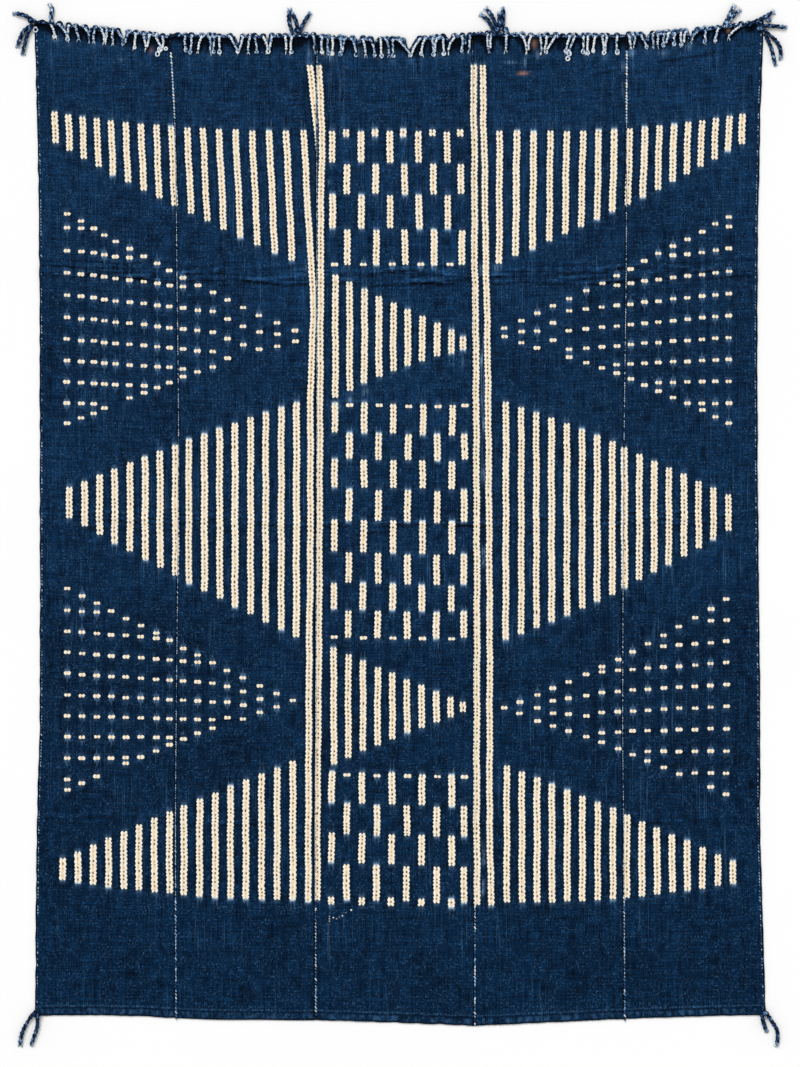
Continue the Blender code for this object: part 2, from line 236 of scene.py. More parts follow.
def lineAt(name, height):
    # a smooth curve through the selvedge's places, as the solids have it
    heights = lineHeights
    places = np.array(lines[name])
    height = np.asarray(height, float)
    last = len(heights) - 1
    k = np.clip(np.searchsorted(-np.array(heights[1:-1]), -height, side="left"), 0, last - 1)
    before, after = np.maximum(k - 1, 0), np.minimum(k + 2, last)
    rows = np.array(heights)
    span = rows[k + 1] - rows[k]
    t = (height - rows[k]) / span
    slopeIn = (places[k + 1] - places[before]) / (rows[k + 1] - rows[before]) * span
    slopeOut = (places[after] - places[k]) / (rows[after] - rows[k]) * span
    return ((2 * t**3 - 3 * t**2 + 1) * places[k] + (t**3 - 2 * t**2 + t) * slopeIn
            + (3 * t**2 - 2 * t**3) * places[k + 1] + (t**3 - t**2) * slopeOut)


def smooth(value, low, high):
    t = np.clip((value - low) / (high - low), 0.0, 1.0)
    return t * t * (3 - 2 * t)


def waves(x, y, seed, count, shortest, longest):
    # a few seeded sines, between -1 and 1 or so
    draw = random.Random(seed)
    total = np.zeros(np.broadcast(x, y).shape)
    for _ in range(count):
        angle = draw.uniform(0, math.pi)
        size = draw.uniform(shortest, longest)
        turn = draw.uniform(0, 2 * math.pi)
        total += np.sin((x * math.cos(angle) + y * math.sin(angle)) * 2 * math.pi / size + turn)
    return total / math.sqrt(count)


# the pattern as a list of marks: stripes, dots and caps, with each kind's number and half width

markKinds = {"stripe": 0.0, "dot": 1.0, "cap": 2.0}
markHalves = {"stripe": 5.2, "dot": 4.6, "cap": 6.0}
markHigh = 2.6        # half the height of a dot or a cap


def stripe(points, only=None):
    return {"kind": "stripe", "points": points, "strips": only}


def spot(kind, x, y):
    return {"kind": kind, "points": ((x, y), (x, y)), "strips": None}


def bandMarks(band):
    found = []
    for k in range(band["drawn"]):
        share = k / (band["count"] - 1)
        x = eased(band["x"], band["ease"], share)
        if share > 0.5:
            x += band["step"] * (1 - share) * 2
        top, bottom = spread(band["top"], share), spread(band["bottom"], share)
        found.append(stripe(((x, top), (x + spread(band["lean"], share), bottom))))
    return found


def dotMarks(field):
    found = []
    last = len(field["x"]) - 1
    for k, x in enumerate(field["x"]):
        share = k / last
        upper, lower = spread(field["upper"], share), spread(field["lower"], share)
        fromTip = k - (last + 1 - len(field["tip"]))
        if fromTip >= 0:
            dots, low = field["tip"][fromTip]
            heights = [upper + (low - upper) * i / max(dots - 1, 1) for i in range(dots)]
        else:
            heights = [upper] if k in field["gone"] else [upper, lower]
            for row in range(field["rows"]):
                start = spread((field["first"], field["last"], field["sag"]), row / (field["rows"] - 1))
                fall = max(field["fall"] - field["less"] * row * row, 0.0)
                height = start - fall * share * (0.85 + 0.2 * share)
                if lower + 7.5 < height < upper - 7.5:
                    heights.append(height)
        found += [spot("dot", x, height) for height in heights]
    return found


def columnPlace(block, column):
    return block["last"] if column == centreColumns - 1 else block["first"] + block["pitch"] * column


def dashMarks(block):
    found = []
    high, low = block["starts"][0], block["ends"][-1]
    for column in range(centreColumns):
        x = columnPlace(block, column)
        hang = block["sag"] * column / (centreColumns - 2)
        if column == centreColumns - 1:
            hang = block["lastSag"]
        even = column % 2 == 0
        for row, (top, bottom) in enumerate(zip(block["starts"], block["ends"])):
            if even == (row % 2 == 0):
                lean = [block["lean"] * (y - low) / (high - low) for y in (top, bottom)]
                found.append(stripe(((x + lean[0], top - hang), (x + lean[1], bottom - hang))))
        top, bottom = block["capBelow"] if even else block["capAbove"]
        x += block["capAside"][1] if even else block["capAside"][0] + block["lean"]
        if top - bottom > 8:
            found.append(stripe(((x, top - 0.6 * hang), (x, bottom - 0.6 * hang))))
        else:
            found.append(spot("cap", x, (top + bottom) / 2 - 0.6 * hang))
    return found


def triangleMarks(triangle):
    found = []
    for column in range(centreColumns):
        share = column / (centreColumns - 1)
        x = columnPlace(triangle, column)
        found.append(stripe(((x, spread(triangle["top"], share)), (x, spread(triangle["bottom"], share)))))
    return found


def patternMarks():
    found = []
    for band in bands:
        found += bandMarks(band)
    for field in dotFields:
        found += dotMarks(field)
    for block in dashBlocks:
        found += dashMarks(block)
    for triangle in smallTriangles:
        found += triangleMarks(triangle)
    for line in longLines:
        found.append(stripe(line["points"], line["strips"]))
    draw = random.Random(11)
    for mark in found:
        mark["seed"] = draw.random()
        if mark["kind"] != "stripe":      # tied by hand, so never quite in line
            (x, y), _ = mark["points"]
            x, y = x + draw.uniform(-0.5, 0.5), y + draw.uniform(-0.7, 0.7)
            mark["points"] = ((x, y), (x, y))
        elif mark["strips"] is None:
            (x1, y1), (x2, y2) = mark["points"]
            mark["points"] = ((x1 + draw.uniform(-0.4, 0.4), y1 + draw.uniform(-0.8, 0.8)),
                              (x2 + draw.uniform(-0.4, 0.4), y2 + draw.uniform(-0.8, 0.8)))
    return found


marks = patternMarks()
print("pattern:", len(marks), "marks")

# the corded heading: a row for each strip, a place on the edge and a place of the knot for each cord
fringe = {
    "drop": (20.5, 23.5, 24.0, 24.0, 18.5),      # from the edge down to the knots, for each strip
    "plyRadius": 1.2,
    "pitch": 8.5,
    "headRadius": 4.9,
    "knotRadius": 2.5,
    "edgeRadius": 1.6,
    # rim: painted shade, how much darker a cord's sides are coloured than its top
    "rim": 0.8,
    "dip": 2.6,                                  # of the edge between two heads
    "loopPitch": 8.2,                            # of the loops along the edge
    "rimHigh": 2.8,
}
cordPlaces = (
    ((-523.5, -517.5), (-510.3, -498.9), (-496.7, -497.7), (-486.0, -481.7), (-472.5, -465.6),
     (-456.6, -459.5), (-447.0, -443.6), (-439.5, -442.2), (-430.7, -430.1), (-422.9, -414.6),
     (-407.0, -413.1), (-395.6, -397.7), (-384.8, -380.6), (-375.5, -379.1), (-366.8, -358.5),
     (-355.5, -356.3)),
    ((-321.9, -321.3), (-312.6, -314.1), (-296.9, -302.6), (-285.3, -284.7), (-278.3, -279.6),
     (-271.0, -270.3), (-254.6, -243.8), (-235.1, -241.7), (-225.0, -228.0), (-218.0, -214.4),
     (-205.1, -197.9), (-192.0, -196.4), (-171.9, -170.6), (-162.0, -163.4), (-129.6, -129.2)),
    ((-116.4, -117.0), (-107.7, -107.7), (-101.3, -101.7), (-89.3, -89.1), (-83.3, -86.3), (-71.1, -65.4),
     (-55.4, -51.8), (-44.6, -38.1), (-28.8, -28.1), (-20.1, -16.5), (-10.8, -10.1), (-3.0, 15.0),
     (30.0, 17.4), (37.2, 32.3), (48.0, 50.4), (55.5, 52.8), (64.5, 66.0), (81.8, 72.5),
     (93.6, 92.1), (105.0, 104.4)),
    ((131.7, 132.3), (136.5, 135.8), (159.6, 159.0), (183.3, 189.8), (196.2, 192.6), (209.9, 212.0),
     (219.9, 216.3), (233.6, 220.5), (255.0, 249.0), (262.5, 253.5), (275.1, 275.1), (282.0, 281.0),
     (292.4, 289.5), (303.0, 305.7), (310.5, 308.0), (325.4, 325.4)),
    ((343.5, 346.0), (352.0, 350.3), (360.6, 370.1), (378.8, 380.4), (388.0, 386.0), (396.0, 395.0),
     (402.0, 398.5), (412.4, 411.5), (421.5, 422.0), (428.0, 426.0), (446.7, 437.3), (458.0, 458.0),
     (476.9, 472.5), (511.4, 492.5)),
)
# notches in the head edge, where two cords pull together: place, depth and half width
notches = (
    (-502.5, 12.0, 3.8), (-465.8, 7.5, 3.0), (-414.2, 15.0, 7.5), (-379.5, 6.0, 2.4), (-243.0, 13.5, 6.8),
    (-199.5, 12.0, 4.5), (-63.3, 9.0, 3.8), (-37.5, 7.5, 4.5), (14.3, 18.0, 12.0), (73.5, 7.5, 3.8),
    (97.2, 13.5, 2.8), (189.0, 7.5, 2.4), (346.5, 9.0, 3.0), (370.1, 12.0, 3.8), (392.6, 6.0, 2.4),
    (406.2, 12.0, 2.4), (435.8, 13.5, 5.2),
)


def headEdge(number, x):
    # the scalloped and notched head of a strip, at places across the cloth
    strip = strips[number - 1]
    left, right = lineAt(lineOrder[number - 1], headLine), lineAt(lineOrder[number], headLine)
    share = np.clip((x - left) / (right - left), 0.0, 1.0)
    edge = spread(strip["head"], share)
    heads = np.array([left] + [place[0] for place in cordPlaces[number - 1]] + [right])
    k = np.clip(np.searchsorted(heads, x) - 1, 0, len(heads) - 2)
    between = np.clip((x - heads[k]) / (heads[k + 1] - heads[k]), 0.0, 1.0)
    near = np.minimum(between, 1 - between) * (heads[k + 1] - heads[k])
    edge = edge - fringe["dip"] * smooth(near, 0.5, 4.0) * (1 - 0.7 * smooth(near, 5.0, 9.0))
    for place, depth, half in notches:
        edge = edge - depth * (1 - smooth(np.abs(x - place), 0.6, half))
    return edge


def foldHeight(fold, x):
    return fold["height"] - fold["hang"] * (1 - (x / cloth["halfWidth"]) ** 2)


def foldLift(x, y):
    # how far the old folds still raise the cloth
    total = np.zeros_like(x)
    for k, fold in enumerate(folds):
        height = foldHeight(fold, x) + 1.6 * waves(x, 0 * x, 40 + k, 4, 60, 240)
        uneven = 0.72 + 0.26 * waves(x, 0 * x, 50 + k, 4, 50, 260)
        off = (y - height) / fold["wide"]
        ridge = np.where(np.abs(off) < 1, 0.5 + 0.5 * np.cos(np.clip(off, -1, 1) * math.pi), 0.0)
        total = total + fold["lift"] * np.clip(uneven, 0.2, 1.15) * ridge
    return total


def foldShade(x, y):
    # each fold shows as a few wandering creases, painted as dark shade lines with a paler painted highlight
    # on the rim above
    total = np.zeros_like(x)
    flat = 0 * x
    for k, fold in enumerate(folds):
        height = foldHeight(fold, x)
        for j, (offset, deep) in enumerate(fold["creases"]):
            seed = 60 + 7 * k + j
            line = height + offset + 2.2 * waves(x, flat, seed, 5, 70, 300)
            line = line + 0.5 * waves(x, flat, seed + 80, 4, 14, 40)
            strength = deep * np.clip(0.6 + 0.6 * waves(x, flat, seed + 40, 5, 45, 260), 0.0, 1.25)
            strength = strength * (0.75 + 0.45 * waves(x, y, seed + 20, 6, 6, 24))
            off = y - line
            dark = np.exp(-(off / creaseLook["dark"]) ** 2)
            rim = np.exp(-((off - creaseLook["rimAbove"]) / creaseLook["rim"]) ** 2)
            total = total + strength * (dark - 0.85 * rim)
    for k, (x1, y1, x2, y2, deep) in enumerate(creases):
        share = np.clip((x - x1) / (x2 - x1), 0.0, 1.0)
        off = y - y1 - (y2 - y1) * share - 0.8 * waves(x, flat, 150 + k, 4, 20, 90)
        strength = deep * (smooth(x, x1 - 4, x1 + 12) - smooth(x, x2 - 12, x2 + 4))
        total = total + strength * (np.exp(-(off / 1.7) ** 2) - 0.6 * np.exp(-((off - 3.6) / 1.9) ** 2))
    return total


def placesAt(x, y, places):
    # soft round spots, added up
    total = np.zeros_like(x)
    for px, py, wide, high, strength in places:
        total = total + strength * np.exp(-((x - px) / wide) ** 2 - ((y - py) / high) ** 2)
    return total


def cordGuides(number):
    # each cord's line on the face, as points from its head to its knot
    drop = fringe["drop"][number - 1]
    draw = random.Random(70 + number)
    guides = []
    for headX, footX in cordPlaces[number - 1]:
        top = float(spread(strips[number - 1]["head"], stripShare(number, headX)))
        long = drop + draw.uniform(-1.6, 1.6)
        guides.append({"head": (headX, top - 2.2), "foot": (footX, top - long), "seed": draw.random()})
    return guides


def stripShare(number, x):
    # how far a place lies across its strip, 0 to 1
    left, right = lineAt(lineOrder[number - 1], headLine), lineAt(lineOrder[number], headLine)
    return min(max(float((x - left) / (right - left)), 0.0), 1.0)


def headShade(number, x, y):
    # painted shadow makes the cloth near black beside each cord, with a pale haze below the knots
    dark = np.zeros_like(x)
    haze = np.zeros_like(x)
    for guide in cordGuides(number):
        (x1, y1), (x2, y2) = guide["head"], guide["foot"]
        t = np.clip(((x - x1) * (x2 - x1) + (y - y1) * (y2 - y1)) / ((x2 - x1) ** 2 + (y2 - y1) ** 2), 0, 1)
        away = np.hypot(x - x1 - t * (x2 - x1), y - y1 - t * (y2 - y1))
        dark = np.maximum(dark, 1 - smooth(away, 3.4, 7.8))
        below = np.exp(-((x - x2) / 4.5) ** 2 - ((y - y2 + 7) / 7.0) ** 2) * guide["seed"]
        haze = haze + below
    return dark, haze


def markFields(number, x, y):
    # for each point, its place in the nearest mark of the pattern
    far = 40.0
    best = np.full(x.shape, far)
    across = np.full(x.shape, 12.0)
    along = np.full(x.shape, -12.0)
    kind = np.zeros(x.shape)
    seed = np.zeros(x.shape)
    meanY = y.mean(axis=1)
    lowX, highX = x.min() - 16, x.max() + 16
    for mark in marks:
        if mark["strips"] is not None and number not in mark["strips"]:
            continue
        points = mark["points"]
        xs, ys = [p[0] for p in points], [p[1] for p in points]
        if max(xs) < lowX or min(xs) > highX:
            continue
        top, bottom = ys[0], ys[-1]
        near = np.nonzero((meanY > bottom - far) & (meanY < top + far))[0]
        if len(near) == 0:
            continue
        rows = slice(near[0], near[-1] + 1)
        px, py = x[rows], y[rows]
        line = np.interp(py, ys[::-1], xs[::-1]) if top > bottom else np.full(px.shape, xs[0])
        half = markHalves[mark["kind"]]
        if mark["kind"] == "stripe":
            line = line + 0.35 * np.sin(py / 17.0 + mark["seed"] * 40)
            line = line + 0.2 * np.sin(py / 7.3 + mark["seed"] * 90)
            within = np.minimum(top - py, py - bottom)
        else:
            within = markHigh - np.abs(py - top)
        dx, dy = np.abs(px - line) - half, -within
        distance = np.where((dx > 0) & (dy > 0), np.hypot(dx, dy), np.maximum(dx, dy))
        closer = distance < best[rows]
        for field, value in ((best, distance), (across, px - line), (along, within)):
            field[rows] = np.where(closer, value, field[rows])
        kind[rows] = np.where(closer, markKinds[mark["kind"]], kind[rows])
        seed[rows] = np.where(closer, mark["seed"], seed[rows])
    return {
        "across": np.clip(across, -12, 12),
        "reach": np.clip(np.abs(across), 0, 12),
        "along": np.clip(along, -40, 10),
        "kind": kind,
        "seed": seed,
    }


def stripPlaces(number, levels):
    # a grid of places on the strip, rows from foot to head
    strip = strips[number - 1]
    leftLine, rightLine = lineOrder[number - 1], lineOrder[number]
    width = float(lineAt(rightLine, 0.0) - lineAt(leftLine, 0.0))
    fine = [0.0, 0.8 / width, 2.2 / width]
    inner = np.linspace(4.0 / width, 1 - 4.0 / width, cloth["columns"] - 1)
    share = np.array(fine + list(inner) + [1 - s for s in reversed(fine)])
    foot = spread(strip["foot"], share)
    base = spread(strip["head"], share)
    leftX, rightX = lineAt(leftLine, headLine), lineAt(rightLine, headLine)
    edge = headEdge(number, leftX + (rightX - leftX) * share)
    foot = foot + 0.35 * waves(share * width, 0 * share, 90 + number, 5, 8, 60)
    low = base - cloth["headDeep"]
    y = np.empty((len(levels), len(share)))
    for row, (part, t) in enumerate(levels):
        y[row] = foot + (low - foot) * t if part == "body" else low + (edge - low) * t
    left = lineAt(leftLine, y) + cloth["gap"] / 2
    right = lineAt(rightLine, y) - cloth["gap"] / 2
    if number == 1:
        left = left + 0.45 * waves(0 * y, y, 101, 6, 9, 90)
    if number == 5:
        right = right + 0.45 * waves(0 * y, y, 102, 6, 9, 90)
    x = left + (right - left) * share
    brim = np.minimum(x - left, right - x)
    return x, y, brim, y - foot, (np.broadcast_to(edge, y.shape) - y)


def stripLevels():
    body = [("body", t) for t in np.linspace(0, 1, cloth["rows"] + 1)]
    return body + [("head", t) for t in np.linspace(0, 1, cloth["headRows"] + 1)[1:]]


def stripHeights(number, x, y, brim, hem, crown, fields):
    # the height of the face above the underside
    hemPart = 1 - smooth(hem, cloth["hemDeep"] - 2.2, cloth["hemDeep"])
    z = cloth["thick"] + (cloth["hemThick"] - cloth["thick"]) * hemPart
    a = np.abs(fields["across"])
    inside = smooth(fields["along"], -1.5, 2.0)
    arch = np.where(a < 6.2, 0.5 + 0.5 * np.cos(np.clip(a / 6.2, 0, 1) * math.pi), 0.0) ** 0.8
    z = z + cloth["puff"] * arch * inside
    z = z + cloth["waver"] * waves(x, y, 5, 9, 34, 120) + 0.07 * waves(x, y, 6, 9, 9, 22)
    outer = {1: "left", 5: "right"}.get(number)
    side = np.where(brim < 7, 0.5 + 0.5 * np.cos(np.clip(brim / 7, 0, 1) * math.pi), 0.0)
    z = z - 0.55 * np.exp(-(brim / 1.0) ** 2) + 0.35 * side
    if outer == "left":
        z = np.where(x < x.mean(), z + 0.5 * np.exp(-((brim - 1.6) / 1.6) ** 2), z)
    if outer == "right":
        z = np.where(x > x.mean(), z + 0.5 * np.exp(-((brim - 1.6) / 1.6) ** 2), z)
    z = z - 0.8 * np.exp(-(hem / 1.2) ** 2) - 0.5 * np.exp(-(crown / 1.5) ** 2)
    return np.maximum(z, 0.7)


def buildStrip(number, material):
    levels = stripLevels()
    x, y, brim, hem, crown = stripPlaces(number, levels)
    fields = markFields(number, x, y)
    rowCount, columnCount = x.shape
    lift = foldLift(x, y)
    top = stripHeights(number, x, y, brim, hem, crown, fields) + lift
    lower = slice(None, None, 2)
    bottomX, bottomY, bottomZ = x[lower], y[lower], lift[lower]
    bottomRows = bottomX.shape[0]
    topPoints = np.stack([x, y, top], axis=-1).reshape(-1, 3)
    bottomPoints = np.stack([bottomX, bottomY, bottomZ], axis=-1).reshape(-1, 3)
    points = np.concatenate([topPoints, bottomPoints]) * mm

    topIndex = np.arange(rowCount * columnCount).reshape(rowCount, columnCount)
    bottomIndex = np.arange(bottomRows * columnCount).reshape(bottomRows, columnCount) + topIndex.size
    faces = []
    up, down = topIndex, bottomIndex
    quads = np.stack([up[:-1, :-1], up[:-1, 1:], up[1:, 1:], up[1:, :-1]], axis=-1)
    faces.append(quads.reshape(-1, 4))
    quads = np.stack([down[:-1, :-1], down[1:, :-1], down[1:, 1:], down[:-1, 1:]], axis=-1)
    faces.append(quads.reshape(-1, 4))
    footQuads = np.stack([down[0, :-1], down[0, 1:], up[0, 1:], up[0, :-1]], axis=-1)
    headQuads = np.stack([down[-1, 1:], down[-1, :-1], up[-1, :-1], up[-1, 1:]], axis=-1)
    faces += [footQuads, headQuads]
    leftSide = np.stack([down[1:, 0], down[:-1, 0], up[0:-2:2, 0], up[1:-1:2, 0], up[2::2, 0]], axis=-1)
    rightSide = np.stack([down[:-1, -1], down[1:, -1], up[2::2, -1], up[1:-1:2, -1], up[:-2:2, -1]], axis=-1)
    sizes = np.concatenate([np.full(len(f), f.shape[1]) for f in faces + [leftSide, rightSide]])
    corners = np.concatenate([f.ravel() for f in faces + [leftSide, rightSide]])

    name = f"strip_{number}"
    mesh = bpy.data.meshes.new(name)
    mesh.vertices.add(len(points))
    mesh.vertices.foreach_set("co", points.astype(np.float32).ravel())
    mesh.loops.add(len(corners))
    mesh.loops.foreach_set("vertex_index", corners.astype(np.int32))
    mesh.polygons.add(len(sizes))
    starts = np.concatenate([[0], np.cumsum(sizes)[:-1]])
    mesh.polygons.foreach_set("loop_start", starts.astype(np.int32))
    mesh.polygons.foreach_set("loop_total", sizes.astype(np.int32))
    mesh.update(calc_edges=True)
    mesh.polygons.foreach_set("use_smooth", np.ones(len(sizes), bool))

    # painted shade: the shade attribute holds the folds' dark crease lines and paler rims and the painted
    # shadow at the head
    dark, haze = headShade(number, x, y)
    shade = foldShade(x, y)
    # painted shadow: the cloth between the cords is made near black from the head edge down to about the
    # knots
    reachDown = fringe["drop"][number - 1] * (0.60 + 0.24 * waves(x, 0 * x, 110 + number, 5, 9, 40))
    dark = np.maximum(dark * (crown < 40), 0.9 - 0.9 * smooth(crown, reachDown - 7.0, reachDown + 4.0))
    fields["shade"] = np.clip(shade + 0.95 * dark, -1.0, 1.6)
    fields["haze"] = haze
    # the worn spots include painted highlights on the upper fold
    fields["worn"] = placesAt(x, y, palePlaces)
    fields["soiled"] = placesAt(x, y, brownPlaces)
    fields["brim"] = np.clip(brim, 0, 20)
    fields["hem"] = np.clip(hem, 0, 40)
    fields["crown"] = np.clip(crown, 0, 60)
    for field, values in fields.items():
        data = np.concatenate([values.ravel(), values[lower].ravel()]).astype(np.float32)
        attribute = mesh.attributes.new(field, "FLOAT", "POINT")
        attribute.data.foreach_set("value", data)

    # the weave's own map in metres: the weft sags towards the middle of the cloth
    middle = (lineAt(lineOrder[number - 1], 0.0) + lineAt(lineOrder[number], 0.0)) / 2
    weft = y + cloth["weftSag"] * (1 - (x / cloth["halfWidth"]) ** 2) * smooth(y, -500, 300)
    u = np.concatenate([(x - middle).ravel(), (x - middle)[lower].ravel()]) * mm
    v = np.concatenate([weft.ravel(), weft[lower].ravel()]) * mm
    layer = mesh.uv_layers.new(name="weave")
    uv = np.stack([u[corners], v[corners]], axis=-1).astype(np.float32)
    layer.data.foreach_set("uv", uv.ravel())
    mesh.materials.append(material)
    obj = bpy.data.objects.new(name, mesh)
    bpy.context.scene.collection.objects.link(obj)
    mesh.validate()
    return obj


# materials

def tone(red, green, blue):
    # a colour as seen, 0 to 255, as the shader's linear colour
    linear = []
    for value in (red, green, blue):
        c = value / 255
        linear.append(c / 12.92 if c <= 0.04045 else ((c + 0.055) / 1.055) ** 2.4)
    return (*linear, 1.0)


class Nodes:
    # short ways to add and join shader nodes
    def __init__(self, material):
        material.use_nodes = True
        self.tree = material.node_tree
        self.shader = self.tree.nodes["Principled BSDF"]

    def put(self, value, socket):
        if isinstance(value, bpy.types.NodeSocket):
            self.tree.links.new(value, socket)
        else:
            socket.default_value = value

    def calc(self, kind, *values, clamp=False):
        node = self.tree.nodes.new("ShaderNodeMath")
        node.operation = kind
        node.use_clamp = clamp
        for value, socket in zip(values, node.inputs):
            self.put(value, socket)
        return node.outputs[0]

    def times(self, first, *others):
        for other in others:
            first = self.calc("MULTIPLY", first, other)
        return first

    def plus(self, first, *others):
        for other in others:
            first = self.calc("ADD", first, other)
        return first

    def ramp(self, value, low, high, start=0.0, end=1.0):
        node = self.tree.nodes.new("ShaderNodeMapRange")
        node.interpolation_type = "SMOOTHSTEP"
        for given, socket in zip((value, low, high, start, end), node.inputs):
            self.put(given, socket)
        return node.outputs[0]

    def mix(self, factor, first, second):
        node = self.tree.nodes.new("ShaderNodeMix")
        node.data_type = "RGBA"
        node.clamp_factor = True
        self.put(factor, node.inputs[0])
        self.put(first, node.inputs[6])
        self.put(second, node.inputs[7])
        return node.outputs[2]

    def dim(self, colour, factor):
        node = self.tree.nodes.new("ShaderNodeVectorMath")
        node.operation = "SCALE"
        self.put(colour, node.inputs[0])
        self.put(factor, node.inputs[3])
        return node.outputs[0]

    def field(self, name):
        node = self.tree.nodes.new("ShaderNodeAttribute")
        node.attribute_name = name
        return node.outputs["Fac"]

    def stretched(self, vector, x, y, z=1.0):
        node = self.tree.nodes.new("ShaderNodeVectorMath")
        node.operation = "MULTIPLY"
        self.put(vector, node.inputs[0])
        node.inputs[1].default_value = (x, y, z)
        return node.outputs[0]

    def noise(self, vector, scale=1.0, detail=2.0, rough=0.5):
        node = self.tree.nodes.new("ShaderNodeTexNoise")
        self.put(vector, node.inputs["Vector"])
        node.inputs["Scale"].default_value = scale
        node.inputs["Detail"].default_value = detail
        node.inputs["Roughness"].default_value = rough
        return node.outputs[0]

    def joined(self, x, y, z=0.0):
        node = self.tree.nodes.new("ShaderNodeCombineXYZ")
        for value, socket in zip((x, y, z), node.inputs):
            self.put(value, socket)
        return node.outputs[0]

    def part(self, vector, index):
        node = self.tree.nodes.new("ShaderNodeSeparateXYZ")
        self.put(vector, node.inputs[0])
        return node.outputs[index]

    def chance(self, x, y):
        node = self.tree.nodes.new("ShaderNodeTexWhiteNoise")
        node.noise_dimensions = "2D"
        self.put(self.joined(x, y), node.inputs["Vector"])
        return node.outputs["Value"]

    def bump(self, height, strength, distance):
        node = self.tree.nodes.new("ShaderNodeBump")
        node.inputs["Strength"].default_value = strength
        node.inputs["Distance"].default_value = distance
        self.put(height, node.inputs["Height"])
        return node.outputs[0]


# the dyed cloth's tones, as seen; "head" and "foot" are the ground at either end. "stitchPitch" runs along
# a resist stripe, and "deeper" gives the darker belts behind the dots: middle height, inner and outer reach
indigo = {
    "head": tone(12, 45, 78),
    "foot": tone(3, 33, 61),
    "pale": tone(134, 178, 220),
    "glow": tone(226, 238, 246),
    # faded dye, also the colour of the painted highlights on the crease rims
    "fadedAndLit": tone(70, 112, 154),
    "black": tone(3, 9, 22),
    "cream": tone(255, 243, 216),
    "white": tone(255, 254, 242),
    "tan": tone(232, 186, 130),
    "hole": tone(84, 54, 36),
    "brown": tone(148, 112, 96),
    "stitchPitch": 6.3,
    "stripeHalf": 4.55,
    "deeper": ((310.0, 110.0, 210.0), (-265.0, 100.0, 190.0)),
}


